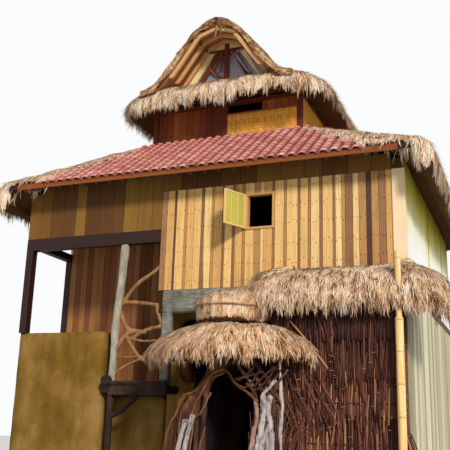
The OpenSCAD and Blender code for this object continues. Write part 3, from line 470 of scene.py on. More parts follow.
def layer(node, voxel=0.07, amount=0.03, trim=None, keep=None):
    """The thick layer under the strands, lumpy as laid straw is. trim is the height above which it stays
    as it is, and the share by which what is lower draws up, so that the strands hang free of it."""
    # Painted shade: the underside and the faces that keep leaves bare get the dark tint, and what is drawn up
    # inside a fringe darkens the more it is drawn.
    lumps, painted_shade_tint, lit, fade = 0.35, 0.12, 0.75, 5
    obj = roughen(remeshed(node + "_layer", node, voxel, 1), amount, lumps, len(node))
    top, share = trim or (0, 0)
    tint = []
    for v in obj.data.vertices:
        shown = v.normal.z > UNDERSIDE and (keep is None or keep(v.co, v.normal))
        depth = 1.0
        if v.co.z < top:
            drawn = (top - v.co.z) * share
            depth -= min(1, drawn * fade)
            v.co.z += drawn
        tint.append(painted_shade_tint + lit * depth if shown else painted_shade_tint)
    set_values(obj.data, tint, [1.0] * len(tint))
    return dress(obj, "thatch_under", node, smooth=True)


def clumps(p, across, down):
    """A smooth value from 0 to 1 that strands side by side share."""
    return clamp(0.5 + 0.75 * noise.noise(Vector((p.x * across, p.y * across, p.z * down))))


def bundle(p, side):
    """The sideways pull of the nearest bundle that strands at an edge gather in."""
    step = side * 0.012
    return 1.6 * (clumps(p + step, FINE, 0) - clumps(p - step, FINE, 0))


def bearing_of(base, keep):
    """The triangles of a layer that carry strands, their areas, the areas of those at an open lower edge,
    and a tree of the whole layer."""
    points, tris = shape_of(base.data)
    tree = BVHTree.FromPolygons(points, tris)
    spots, areas, edge = [], [], []
    for t in tris:
        a, b, c = (points[i] for i in t)
        cross = (b - a).cross(c - a)
        area = cross.length / 2
        if area < 1e-7:
            continue
        normal = cross.normalized()
        middle = (a + b + c) / 3
        if normal.z < -0.3 or (keep and not keep(middle, normal)):
            continue
        spots.append((a, b, c, normal))
        areas.append(area)
        below = tree.ray_cast(middle + normal * 0.03, -UP, 0.25)[0]
        edge.append(area if below is None and normal.z < 0.75 else 0.0)
    return spots, areas, edge, tree


def straw(name, base, count, length, seed, material="thatch", width=0.011, spread=0.12, keep=None, low=0.0,
          hang=0.2, shade=0.0, course=None):
    """Strands laid down the fall line of a layer. low is the share of strands put near its lower edge,
    and hang is how far a strand may reach below it, as a number or a function of the place. course gives
    the way that they follow where it isn't the fall line."""
    rand = random.Random(seed)
    uniform, gauss = rand.uniform, rand.gauss
    spots, areas, edge, tree = bearing_of(base, keep)
    piece = Piece()
    n_low = int(count * low) if sum(edge) > 0 else 0
    chosen = rand.choices(spots, areas, k=count - n_low)
    chosen += rand.choices(spots, edge, k=n_low) if n_low else []
    for i, (a, b, c, normal) in enumerate(chosen):
        u, v = rand.random(), rand.random()
        if u + v > 1:
            u, v = 1 - u, 1 - v
        p = a + (b - a) * u + (c - a) * v
        fall = -UP + normal * normal.z
        if fall.length < 0.15:
            out = Vector((p.x, p.y, 0)).normalized()
            fall = out - normal * out.dot(normal)
        if course:
            fall = course(p)
        fall.normalize()
        side = normal.cross(fall).normalized()
        at_edge = i >= count - n_low
        swirl = 0 if course else noise.noise(p * 1.3) * 0.18 + noise.noise(p * 9) * 0.2
        pull = bundle(p, side) if at_edge else 0
        fall = (fall + side * (gauss(0, spread) + swirl + pull)).normalized()
        side = normal.cross(fall).normalized()
        parts = 3 if at_edge else 2
        reach = length * uniform(0.6, 1.3)
        tuft = 0.45 * clumps(p, WIDE, 0) + 0.55 * clumps(p, FINE, 0)
        most = hang(p) if callable(hang) else hang
        left = most * (0.08 + 1.45 * tuft ** 2) * uniform(0.2, 1.25)
        w = width * uniform(0.6, 1.4)
        way, path = fall, [p + normal * uniform(0, LIFT)]
        for _ in range(parts):
            step = reach / parts
            q = path[-1] + way * step
            near, n2 = tree.find_nearest(q, 0.12)[:2]
            if near is not None and n2.z > UNDERSIDE and (q - near).dot(n2) < 0.05:
                q = near + n2 * (LIFT * uniform(0.5, 1.8))
                flat = course(q) if course else -UP + n2 * n2.z
                if flat.length > 0.1:
                    way = (way * 0.6 + flat.normalized() * 0.4).normalized()
            else:
                step = min(step, left)
                if step < 0.012:
                    break
                q = path[-1] + way * step
                left -= step
                bend = Vector((gauss(0, 0.08), gauss(0, 0.08), -STIFF))
                way = (way + side * bundle(q, side) * 0.8 + bend).normalized()
            path.append(q)
        if len(path) < 2:
            continue
        pts, along, last = [], [], len(path) - 1
        for k in range(last):
            half = w * (0.5 if k < 2 else 0.34)
            pts += [path[k] - side * half, path[k] + side * half]
            along += [k / last] * 2
        tone = 0.5 + 0.85 * (clumps(p, 11, 1.2) - 0.5) + 0.3 * (clumps(p, 3, 1) - 0.5) + gauss(0, 0.3) - shade
        faces = strip(last - 1) + [(2 * last - 2, 2 * last - 1, 2 * last)]
        piece.put(pts + [path[last]], faces, clamp(tone), along + [1])
    piece.make(name, "thatch", material)


def thatched(node, count, length, seed, material="thatch", voxel=0.07, trim=None, **more):
    base = layer(node, voxel, trim=trim, keep=more.get("keep"))
    straw(node + "_straw", base, count, length, seed, material, **more)
    return base


def roll(name, path, radius, count, seed):
    """A bound roll of straw along a path."""
    rand = random.Random(seed)
    path = curve(path, 6)
    core, piece = Piece(), Piece()
    core.tube(path, [radius * (0.8 + 0.2 * rand.random()) for _ in path], 10, 0.35)
    core.make(name + "_core", "thatch", "thatch_under")
    for _ in range(count):
        i = rand.randrange(len(path) - 3)
        way = (path[i + 2] - path[i]).normalized()
        across = way.orthogonal().normalized()
        out = Matrix.Rotation(rand.uniform(0, 2 * pi), 3, way) @ across
        start = path[i] + out * radius * rand.uniform(0.9, 1.1)
        turn = out.cross(way) * rand.uniform(-0.25, 0.25)
        steps = [start + (path[min(i + k, len(path) - 1)] - path[i]) + turn * radius * k * 0.5
                 for k in range(4)]
        side = out.cross(way) * 0.008
        pts = [q + side * s for q in steps[:3] for s in (-1, 1)] + [steps[3]]
        piece.put(pts, strip(2) + [(4, 5, 6)], rand.random(), [0.4, 0.4, 0.6, 0.6, 0.8, 0.8, 1])
    piece.make(name + "_straw", "thatch", "thatch_rosy")


def outer_slope(p, n):
    """The outside of the gable roof, without its underside and its two ends."""
    return abs(n.y) < 0.6 and (n.z > 0.55 or n.x * p.x > 0.2 * abs(p.x))


def verge(p, n):
    """The two ends of the gable roof."""
    return abs(n.y) > 0.6


def along_verge(node):
    """The way down the gable roof at a place on its front or back edge."""
    high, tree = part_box(node)[1].z + 1, cad_tree(node)

    def way(p):
        s = 1 if p.x > 0 else -1
        y = p.y - copysign(0.12, p.y)
        a, b = (tree.ray_cast(Vector((p.x + d, y, high)), -UP)[0] for d in (-0.06 * s, 0.06 * s))
        return Vector((0.5 * s, 0, -1)) if a is None or b is None else b - a
    return way


def lined(obj, material, skip):
    """Gives the underside of a layer a finish of its own."""
    obj.data.materials.append(M[material])
    for face in obj.data.polygons:
        if not skip(face.center, face.normal) and abs(face.normal.y) < 0.6:
            face.material_index = 1


def skirt_fringe(p):
    """How far the fringe of the attic skirt hangs. It is short over the opening at the right of the front."""
    return 0.3 if p.y < -2.2 and 0.45 < p.x < 1.75 else 0.64


def dome():
    """Round thatch in two courses, with a rope between them."""
    base = layer("porch_dome", 0.05, 0.012)
    lo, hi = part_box("porch_dome")
    middle, rope_z, r = (lo + hi) / 2, lo.z + (hi.z - lo.z) * 0.5, (hi.x - lo.x) / 2 + 0.012
    look = {"material": "thatch_rosy", "width": 0.008, "shade": -0.08}
    straw("dome_lower_straw", base, 9500, 0.2, 45, spread=0.05, hang=0.03,
          keep=lambda p, n: p.z < rope_z - 0.04 and n.z < 0.5, **look)
    straw("dome_upper_straw", base, 10500, 0.2, 55, spread=0.1, hang=0.04,
          keep=lambda p, n: p.z > rope_z + 0.01, **look)
    rope, path = Piece(), []
    for a in (2 * pi * k / 48 for k in range(49)):
        z = rope_z - 0.02 + 0.015 * sin(a * 2)
        path.append(Vector((middle.x + r * cos(a), middle.y + r * sin(a), z)))
    rope.tube(path, 0.014, 8, 0.9)
    rope.make("dome_rope", "thatch", "tie")


def rolls():
    """Bound rolls of straw on the upper edge of the awning, at its left end and round the corner."""
    lo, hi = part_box("awning_thatch")
    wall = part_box("board_wall_front")
    y, z, x0, x1 = wall[0].y, hi.z, lo.x, wall[1].x
    left = [(x0 + 0.02, y - 0.12, z - 0.16), (x0 + 0.25, y - 0.1, z - 0.05), (x0 + 0.7, y - 0.09, z)]
    corner = [(x1 - 0.1, y - 0.07, z + 0.02), (x1 + 0.06, y - 0.05, z + 0.03), (x1 + 0.08, y + 0.25, z + 0.01),
              (x1 + 0.07, y + 0.8, z - 0.02)]
    roll("awning_left_roll", left, 0.06, 700, 61)
    roll("awning_corner_roll", corner, 0.055, 900, 62)


# Boards

BOARD_GAP = 0.007
SEAT = 0.0003  # the room that a piece set into a hole keeps
TONES = {"c": 0.95, "h": 0.8, "t": 0.62, "b": 0.4, "n": 0.25, "d": 0.02}  # cream, honey, tan, brown, nut, dark

# The front wall from left to right: wide boards with narrow darker ones between them, as width in
# centimetres and tone.
FRONT = """12n 16t 5d 17h 6b 16t 15h 7n 16c 6b 17t 5n 15h 6n 15t 6b 17h 13b 6c 17t 5n 17h 6b 22h 5n 15h 6b 17c
6n 19h 5n 12c 7b 13n 11c 13b 9d 13b 13n 13t 20h""".split()


def top_of(node):
    """The height of a CAD wall at some place along it, which the roof may cut at a slant."""
    lo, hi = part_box(node)
    tree = cad_tree(node)
    axis = 0 if hi.x - lo.x > hi.y - lo.y else 1

    def top(u):
        p = (lo + hi) / 2
        p.z = hi.z + 1
        p[axis] = clamp(u, lo[axis] + 0.002, hi[axis] - 0.002)
        hit = tree.ray_cast(p, -UP)[0]
        return hi.z if hit is None else hit.z
    return top


def boards(name, node, slot, material, widths, seed, proud=0.004, tints="", axis=0, holes=()):
    """Upright boards over the box of a CAD wall. axis is the way they are counted, 0 for X and 1 for Y, and
    tints has a letter of TONES for each. holes are (from, to, bottom, top) that the boards leave open."""
    rand = random.Random(seed)
    lo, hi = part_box(node)
    top = top_of(node)
    piece = Piece()
    narrow, sliver = 0.09, 0.05
    at, i = lo[axis], 0
    while at < hi[axis] - 0.01:
        w = widths[i % len(widths)] * rand.uniform(0.94, 1.06)
        end = min(at + w, hi[axis])
        if hi[axis] - end < sliver:
            end = hi[axis]
        tint = TONES[tints[i % len(tints)]] if tints else rand.uniform(0.1, 0.95)
        back = proud if w > narrow else proud * 2

        def board(a, b, bottom, high):
            put_board(piece, lo, hi, axis, a, b - BOARD_GAP, bottom, high, tint, rand, back)

        high = min(top(at), top(end))
        pieces = [(lo[2], high)]
        for a, b, low_z, high_z in holes:
            if at < b and end > a:
                pieces = [(lo[2], low_z), (high_z, high)]
                for p0, p1 in ((at, max(at, a)), (min(end, b), end)):
                    if p1 - p0 > 0.01:
                        board(p0, p1, low_z, high_z)
        for low_z, high_z in pieces:
            if high_z - low_z > 0.02:
                board(at, end, low_z, high_z)
        at, i = end, i + 1
    piece.make(name, slot, material, node, bevel=0.003)


def put_board(piece, lo, hi, axis, a, b, bottom, top, tint, rand, proud):
    """A board, and the dark core behind it that closes the gap to the next."""
    p, q, thick = [0, 0, bottom], [0, 0, top], 1 - axis
    out = rand.uniform(0, proud)
    p[axis], q[axis] = a, b
    p[thick], q[thick] = lo[thick] + (out if thick == 1 else 0), hi[thick] - (out if thick == 0 else 0)
    piece.box(p, q, clamp(tint + rand.uniform(-0.04, 0.04)))
    inset = (hi[thick] - lo[thick]) * 0.3
    p[thick], q[thick] = lo[thick] + inset, hi[thick] - inset
    q[axis] += BOARD_GAP
    q[2] -= 0.002
    piece.box(p, q, 0.0)


def nails(name, spots):
    """Round nail heads on a wall that faces -Y."""
    piece = Piece()
    for x, y, z in spots:
        ring = [Vector((x + 0.01 * cos(a), y, z + 0.01 * sin(a))) for a in (k * pi / 3 for k in range(6))]
        piece.put(ring + [Vector((x, y - 0.003, z))], [(k, (k + 1) % 6, 6) for k in range(6)], 0.1)
    piece.make(name, "dark_timber", "dark")


def front_wall():
    lo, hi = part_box("board_wall_front")
    w_lo, w_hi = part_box("window_frame")
    a, b, c, d = w_lo.x - SEAT, w_hi.x + SEAT, w_lo.z - SEAT, w_hi.z + SEAT
    boards("front_boards", "board_wall_front", "honey_boards", "honey", [int(w[:-1]) / 100 for w in FRONT],
           11, 0.008, [w[-1] for w in FRONT], holes=[(a, b, c, d)])
    rand = random.Random(5)
    spots, x, clear = [], lo.x + 0.05, 0.02
    while x < hi.x - 0.25:
        for z in (lo.z + 0.12, lo.z + 0.45, lo.z + 0.8, lo.z + 1.2, lo.z + 1.55, hi.z - 0.12):
            for dx in (0, 0.07):
                sx, sz = x + dx + rand.uniform(-0.015, 0.015), z + rand.uniform(-0.05, 0.05)
                if not (a - clear < sx < b + clear and c - clear < sz < d + clear):
                    spots.append((sx, lo.y - 0.0005, sz))
        x += 0.15
    nails("board_nails", spots)


def tile_slope(name, sign, seed):
    """Pantiles laid in courses up one slope, which end under the thatch at both hips."""
    rand = random.Random(seed)
    hi, (a_lo, a_hi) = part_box("tile_roof")[1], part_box("attic_floor")
    eave, low = -hi.y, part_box("eave_fascia")[1].z + 0.01
    slope = Vector((0, a_lo.y - eave, a_hi.z - low))
    run = slope.length
    slope.normalize()
    up = Vector((1, 0, 0)).cross(slope)
    cover = cad_tree("side_thatch")
    pitch, course, over, drip, swell, thick, steps = 0.2, 0.19, 0.05, 0.07, 0.027, 0.026, 8
    m = steps + 1
    faces = [(k, k + 1, m + k + 1, m + k) for k in [*range(steps), *range(m, m + steps)]]
    faces += [(3 * m + k, 3 * m + k + 1, k + 1, k) for k in range(steps)]
    if sign > 0:
        faces = [tuple(reversed(f)) for f in faces]
    piece = Piece()
    for j in range(ceil(run / course)):
        d0 = j * course - (over if j else drip)
        d1 = min((j + 1) * course, run)
        half = hi.x - (hi.x - a_hi.x) * max(0, d0) / run
        n = int(half / pitch) + 1
        for i in range(-n, n):
            centre = Vector(((i + 0.5) * pitch, sign * abs(eave + slope.y * max(0.05, d0)), 0))
            centre.z = low + slope.z * max(0.05, d0) - 0.2
            inner = centre - Vector((copysign(0.15, centre.x), 0, 0))
            if all(cover.ray_cast(c, UP, 1.0)[0] is not None for c in (centre, inner)):
                continue
            tint, tilt = clamp(rand.gauss(0.5, 0.16)), rand.uniform(-0.003, 0.003)
            pts, along = [], []
            # along paints light and shade: the lower edge lightest, the crests lighter, and the valleys and the
            # part under the next course darker.
            for d, rise, share in ((d0, 0.05, 1.0), (d0 + 0.035, 0.048, 0.8), (d1, 0.014, 0.42)):
                for k in range(m):
                    u = k / steps
                    wave = sin(2 * pi * (u - 0.1)) + 0.3 * sin(4 * pi * u)
                    x = (i + u * 1.04) * pitch
                    pts.append(Vector((x, eave, low)) + slope * d + up * (rise + swell * wave + tilt))
                    along.append(share * clamp(0.55 + 0.55 * wave))
            pts += [p - up * thick + slope * 0.003 for p in pts[:m]]
            if sign > 0:
                pts = [Vector((p.x, -p.y, p.z)) for p in pts]
            piece.put(pts, faces, tint, along + [0.8] * m)
    piece.smooth = True
    piece.make(name, "clay_tiles", "tiles")


def weave(piece, corner, across, width, height, rand):
    """An upright mat of flat strips, each passing over two and under two."""
    out = across.cross(UP)
    wide, course, depth = 0.04, 0.06, 0.005
    n, m = int(width / wide), int(height / course)
    sw, ch = width / n, height / m

    def over(i, j):
        return depth if (i + j) % 4 < 2 else -depth
    for i in range(n):
        tint = rand.uniform(0.1, 0.7)
        pts = [corner + across * ((i + s) * sw) + UP * (j * ch) + out * over(i, min(j, m - 1))
               for j in range(m + 1) for s in (0.1, 0.9)]
        piece.put(pts, strip(m), tint)
    for j in range(m):
        tint = rand.uniform(0, 0.5)
        pts = [corner + across * (i * sw) + UP * ((j + s) * ch) + out * -over(min(i, n - 1), j)
               for i in range(n + 1) for s in (0.14, 0.86)]
        piece.put(pts, [(a, d, c, b) for a, b, c, d in strip(n)], tint)


def mats():
    """Woven mats as the parapet in front and as the walls round the attic, with two rails."""
    lo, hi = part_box("attic_mats")
    f_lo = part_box("attic_frame")[0]
    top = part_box("attic_boards")[1].z
    rand = random.Random(8)
    piece, rails = Piece(), Piece()
    z0, post, parapet = lo.z, 0.11, 0.52
    x_in, x_out, y0 = post / 2, -f_lo.x - post, f_lo.y + 0.008
    weave(piece, Vector((x_in, y0, z0)), Vector((1, 0, 0)), x_out - x_in, parapet, rand)
    for s in (1, -1):
        start = Vector((s * (hi.x + 0.007), s * (f_lo.y + post), z0))
        weave(piece, start, Vector((0, s, 0)), -2 * (f_lo.y + post), top - z0, rand)
    for x in (-x_in, x_out):
        weave(piece, Vector((x, -y0, z0)), Vector((-1, 0, 0)), x_out - x_in, top - z0, rand)
    piece.make("woven_mats", "woven_mat", "mat")
    front = f_lo.y - 0.004
    rails.box((x_in, front, z0 + parapet - 0.01), (x_out, f_lo.y + 0.06, z0 + parapet + 0.03), 0.7)
    rails.box((x_in, front, z0), (x_out, f_lo.y + 0.012, z0 + 0.035), 0.6)
    rails.make("mat_rails", "orange_timber", "red", bevel=0.004)


def window():
    """The open leaf: a frame with two mullions and pale panels."""
    lo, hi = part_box("window_frame")
    w, z0, z1 = hi.x - lo.x - 0.02, lo.z + 0.02, hi.z - 0.02
    hinge = Matrix.Translation((lo.x + 0.002, lo.y - 0.0005, 0)) @ Matrix.Rotation(radians(-115), 4, "Z")
    piece, inner = Piece(), Piece()
    t, bar, mullion = 0.028, 0.034, 0.02
    for a, b, c, d in ((0, bar, z0, z1), (w - bar, w, z0, z1), (bar, w - bar, z0, z0 + bar),
                       (bar, w - bar, z1 - bar, z1), (w * 0.36, w * 0.36 + mullion, z0 + bar, z1 - bar),
                       (w * 0.66, w * 0.66 + mullion, z0 + bar, z1 - bar)):
        piece.box((a, -t, c), (b, 0, d), 0.8, hinge)
    piece.make("window_leaf_frame", "cream_board", "frame", "window_leaf", bevel=0.003)
    inner.box((bar, -t * 0.65, z0 + bar), (w - bar, -t * 0.4, z1 - bar), 0.5, hinge)
    inner.make("window_leaf_panels", "honey_boards", "olive")


# Wattle

def wattle():
    """Courses of upright sticks, each lapping over the one below, with bent sticks and ties in front."""
    lo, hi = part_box("wattle_wall")
    r_lo, r_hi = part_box("wattle_returns")
    front, top_end = lo.y - 0.004, hi.z - 0.01
    rand = random.Random(21)
    uniform, gauss = rand.uniform, rand.gauss
    wall, bent, fan, lap_shadows, ties = (Piece() for _ in range(5))

    def stick(piece, a, b, radii, bend, tint=None, sides=6, parts=4):
        a, b = Vector(a), Vector(b)
        path = [a.lerp(b, t) + Vector((gauss(0, bend), gauss(0, bend * 0.4), 0)) * sin(pi * t)
                for t in (k / parts for k in range(parts + 1))]
        piece.tube(path, radii, sides, rand.random() if tint is None else tint, 0.12, rand)

    def rod(piece, places, radii, tint, steps=4):
        piece.tube(curve(places, steps), radii, 6, tint, 0.1, rand)

    courses, lap, foot = (0.0, 0.7, 1.34, 1.98, 2.58, 3.2), 0.16, 0.004
    # Painted shade: courses that start higher get darker sticks, for the shadow under the awning.
    painted_shade_from, painted_shade_share = 1.9, 0.55
    for bottom, above in zip(courses, courses[1:] + (None,)):
        top = above + lap if above else top_end
        dark = 1.0 - painted_shade_share * max(0.0, bottom - painted_shade_from)
        x = lo.x + 0.02
        while x < hi.x - 0.01:
            r = uniform(0.011, 0.02)
            z = max(foot, bottom + uniform(-0.05, 0.05)) if bottom else foot
            stick(wall, (x, front - 0.034, z), (x + gauss(0, 0.012), front + 0.012, top), (r, r * 0.8), 0.006,
                  dark * rand.random() ** 1.3, parts=3)
            x += r * uniform(1.4, 1.8)
        for _ in range(46):
            x, r = uniform(lo.x + 0.02, hi.x - 0.02), uniform(0.01, 0.018)
            z = uniform(max(0.01, bottom - 0.2), bottom + 0.5)
            end = min(z + uniform(0.35, 0.9), top_end)
            stick(wall, (x, front - 0.05, z), (x + gauss(0, 0.03), front - 0.03, end), (r, r * 0.7), 0.008,
                  dark * uniform(0.15, 1.0), parts=3)
    wall.make("wattle_sticks", "wattle", "wattle", ["wattle_wall", "wattle_returns"])

    # The porch's side sticks take the near black finish as painted shade inside the porch.
    for name, material, x, y, y1, top in (
            ("wattle_end_sticks", "wattle", hi.x - 0.02, lo.y + 0.03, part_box("board_wall_front")[0].y, top_end),
            ("porch_side_sticks", "dark_and_painted_shade", r_lo.x + 0.026, r_lo.y + 0.02, r_hi.y - 0.02, r_hi.z - 1.2)):
        sides = Piece()
        while y < y1:
            r = uniform(0.016, 0.025)
            for bottom, end in ((0.002, 1.4), (1.25, top)):
                stick(sides, (x, y, bottom), (x - 0.01, y + gauss(0, 0.01), end), (r, r * 0.85), 0.008)
            y += r * 1.8
        sides.make(name, "wattle", material)

    for _ in range(26):
        x, z = uniform(lo.x + 0.1, hi.x - 0.1), uniform(1.2, 3.3)
        length, lean = uniform(0.5, 1.1), gauss(0, 0.1)
        end = (clamp(x + lean * length, lo.x, hi.x - 0.02), front - 0.05, min(z + length, hi.z - 0.02))
        stick(bent, (x, front - 0.055, z), end, (0.012, 0.009), 0.016, uniform(0.2, 0.8))
    for k in range(22):
        x = lo.x + 0.03 + 0.022 * k + uniform(-0.02, 0.02)
        lean = uniform(0.2, 0.6)
        rod(bent, [(x, front - 0.05, 0.03), (x + 0.01, front - 0.06, 0.9 + uniform(0, 0.3)),
                   (x + 0.25 * lean, front - 0.06, 1.5 + uniform(0, 0.25)),
                   (x + 0.75 * lean, front - 0.05, uniform(1.75, 2.1))], (0.014, 0.008), uniform(0.1, 0.75))
    for k in range(30):
        x = lo.x + 0.02 + 0.03 * k + uniform(-0.02, 0.02)
        high, reach = uniform(2.3, 2.75), uniform(0.15, 0.4)
        rod(bent, [(x, front - 0.055, high), (x + 0.4 * reach, front - 0.065, high - 0.2),
                   (x + 0.8 * reach, front - 0.06, high - 0.45), (x + reach, front - 0.05, high - 0.7)],
            (0.012, 0.009), uniform(0.05, 0.7))
    rod(bent, [(lo.x + 0.35, front - 0.06, hi.z - 0.35), (lo.x + 0.7, front - 0.07, 3.15),
               (lo.x + 1.0, front - 0.05, 2.75)], (0.016, 0.02), 0.95, 5)
    bent.make("wattle_bent_sticks", "wattle", "wattle")

    for k in range(52):
        out = 0.05 + 0.33 * rand.random()
        x, y = hi.x + uniform(-0.08, 0.0), front - 0.02 + 0.5 * (k / 51)
        rod(fan, [(x, y, uniform(1.9, 2.9)), (x + 0.03 * out, y - 0.02, 2.0 + uniform(-0.1, 0.1)),
                  (x + 0.45 * out, y - 0.03, 1.55), (x + 0.8 * out, y - 0.03, 0.9),
                  (x + out, y - 0.02, uniform(0.03, 0.4))], (0.009, 0.015), rand.random())
    fan.make("wattle_flare", "wattle", "wattle")

    # Dark rods along two lines across the wall: painted shade for the shadow under a lapping course.
    for z in (1.57, 2.2):
        x = lo.x + 0.03
        while x < hi.x - 0.2:
            end = min(x + uniform(0.5, 1.0), hi.x)
            stick(lap_shadows, (x, front - 0.03, z), (end, front - 0.03, z + uniform(-0.02, 0.02)), 0.016, 0.006, 0.05)
            x = end - 0.05
    lap_shadows.make("wattle_painted_lap_shadows", "wattle", "dark")
    for _ in range(60):
        x, z = uniform(lo.x, hi.x), uniform(0.8, 3.0)
        turn = uniform(-0.4, 0.4)
        p = Vector((x, front - 0.075, z))
        stick(ties, p, p + Vector((cos(turn), 0, sin(turn))) * uniform(0.03, 0.1), (0.006, 0.004),
              0.006, uniform(0.3, 1.0), 5)
    for _ in range(10):
        p = Vector((hi.x + uniform(-0.02, 0.03), front + uniform(-0.03, 0.1), uniform(1.2, 3.2)))
        stick(ties, p, p + Vector((uniform(0.06, 0.16), -0.01, uniform(-0.05, 0.05))), (0.009, 0.006),
              0.01, 0.9, 5)
    ties.make("wattle_ties", "wattle", "tie")


# Loose branches

def vines():
    """Thin branches and vines woven round the arch, and the tangle at its right shoulder."""
    rand = random.Random(71)
    uniform, gauss = rand.uniform, rand.gauss
    tan, brown, pale, rosy = (Piece() for _ in range(4))
    lo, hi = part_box("porch_skirt")
    middle, plane = (lo.x + hi.x) / 2, lo.y + 0.59

    def twig(piece, places, radii, tint=None):
        """A branch through places as x, z and y from the middle of the arch and its plane."""
        path = [p + Vector((gauss(0, 0.006), gauss(0, 0.006), 0))
                for p in curve([(middle + x, plane + y, z) for x, z, y in places])]
        piece.tube(path, radii, 7, rand.random() if tint is None else tint, 0.12, rand)

    for text, radii, tint in (
            ("11 272 -8, -5 266 -10, -22 252 -10, -40 235 -10, -58 229 -11, -67 218 -10, -70 205 -9, -88 172 -8, "
             "-96 120 -7, -100 60 -7", (0.016, 0.02), 0.8),
            ("10 264 -8, -8 258 -10, -19 249 -10, -27 234 -10, -39 215 -9, -46 190 -9, -52 150 -8",
             (0.015, 0.018), 0.65),
            ("13 270 -7, 24 260 -9, 30 250 -10, 42 242 -10, 54 233 -10, 70 220 -10", (0.015, 0.017), 0.8)):
        twig(tan, places_of(text), radii, tint)
    for text in ("61.5 241 -10, 80 257 -11, 97 274.5 -8", "69 237.5 -9, 89.5 257 -10, 100 275 -8",
                 "52 248 -10, 60 240 -12, 67.5 228 -10", "30.5 255 -8, 55 260 -10, 79 267 -8",
                 "36 253 -7, 50 262 -10, 62 274 -7", "45 240 -9, 60 250 -10, 74 272 -8",
                 "80 240 -9, 95 246 -10, 108 270 -8", "-12 233 -10, -22 210 -12, -30 196 -12",
                 "95 230 -8, 105 250 -10, 120 270 -8"):
        twig(brown, places_of(text), (0.022, 0.014), uniform(0.5, 1))
    for _ in range(34):
        side = rand.choice((-1, -1, 1))
        x = side * (uniform(0.3, 0.95) if side < 0 else uniform(0.62, 1.1))
        z0, lean = uniform(0.02, 1.5), gauss(0, 0.1) - side * 0.05
        length = uniform(0.7, 1.5)
        twig(brown, [(x, z0, -0.06), (x + lean * 0.5, z0 + length * 0.5, -0.08), (x + lean, z0 + length, -0.05)],
             (uniform(0.012, 0.022), 0.009))
    for piece, radii, text in (
            (pale, (0.03, 0.024), "-40 197 -10, -46 173 -12, -54 150 -12, -60 110 -12"),
            (pale, (0.03, 0.024), "-52 189 -10, -62 163 -12, -68 140 -12, -72 90 -12"),
            (pale, (0.05, 0.06),
             "80 228 -6, 81 212 -10, 80.5 195 -10, 76.5 169 -10, 73 146 -10, 70 100 -10, 67 2 -10"),
            (pale, (0.045, 0.05),
             "92 228 -6, 89 212 -10, 90.5 195 -10, 92.5 177 -10, 90.5 146 -10, 90 100 -10, 88 2 -10"),
            (rosy, (0.034, 0.055), "67 222 -8, 70 195 -10, 65.5 172 -11, 61.5 146 -11, 57 100 -10, 54 2 -10")):
        twig(piece, places_of(text), radii)
    tan.make("arch_vines", "branches", "vine")
    brown.make("arch_twigs", "branches", "bark")
    pale.make("arch_pale_twigs", "driftwood", "driftwood")
    rosy.make("arch_rosy_stem", "driftwood", "rosy_stem")


def gable_details():
    """Sticks, loose ends and side panes in the two mouths of the gable."""
    rand = random.Random(81)
    uniform, gauss = rand.uniform, rand.gauss
    front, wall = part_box("gable_thatch")[0].y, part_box("gable_frame")[0].y
    sticks, rags, brace, glass = (Piece() for _ in range(4))

    def stick(piece, places, radii, tint):
        path = [p + Vector((gauss(0, 0.005), 0, gauss(0, 0.005))) for p in curve(places, 4)]
        piece.tube(path, radii, 7, tint, 0.1, rand)

    for sy in (1, -1):
        a, b = sy * (front + 0.04), sy * (wall - 0.03)
        stick(sticks, [(-0.46, a, 10.08), (-0.45, (a + b) / 2, 10.05), (-0.45, b, 10.02)], (0.03, 0.024), 0.5)
        stick(sticks, [(0.44, a, 10.05), (0.44, b, 10.01)], (0.028, 0.024), 0.5)
        for piece, radii, tint, texts in (
                (brace, (0.028, 0.03), 0.9, ["21 992 0, 38 964 1, 57 936 0"]),
                (brace, (0.02, 0.018), 0.8, ["21 992 0, 38.5 1002 0"]),
                (sticks, (0.02, 0.017), None, [
                    "-24 1002 0, -42 970 1, -64 933 0", "-11 1000 0, -20 982 0, -32 964 0",
                    "-6 993 0, -12 970 0, -15 949 0", "-32 964 0, -22 947 0, -11 934 0",
                    "-42 965 0, -30 950 0, -10 938 0", "-30 962 0, -20 978 0, -8 997 0", "2 986 0, 10 994 0"])):
            for text in texts:
                stick(piece, [(x, b - y * sy, z) for x, z, y in places_of(text)], radii, tint or rand.random())
        near, far = a - 0.03 * sy, a - 0.05 * sy
        stick(rags, [(0.14, a, 10.29), (0.3, near, 10.12), (0.43, a, 10.03), (0.4, a, 9.9)], (0.014, 0.01), 0.6)
        for x, z, drop in ((0.02, 10.3, 0.34), (0.06, 10.26, 0.22), (0.12, 10.3, 0.26), (0.15, 10.26, 0.14)):
            stick(rags, [(x, near, z), (x + gauss(0, 0.02), far, z - drop * 0.5),
                         (x - uniform(0, 0.05), near, z - drop)], (0.014, 0.009), uniform(0.3, 0.9))
        pts = [Vector((sy * x, sy * (wall - 0.004), z))
               for x, z in ((0.42, 10.02), (0.8, 9.3), (1.12, 9.3), (0.58, 10.02))]
        glass.put(pts + [p + Vector((0, sy * 0.003, 0)) for p in pts],
                  [(0, 1, 2, 3), (7, 6, 5, 4), (0, 4, 5, 1), (1, 5, 6, 2), (2, 6, 7, 3), (3, 7, 4, 0)])
    sticks.make("gable_sticks", "light_poles", "vine")
    brace.make("gable_pale_sticks", "light_poles", "driftwood")
    rags.make("gable_rags", "thatch", "branch")
    glass.make("gable_side_panes", "pane", "pane")


# The scene

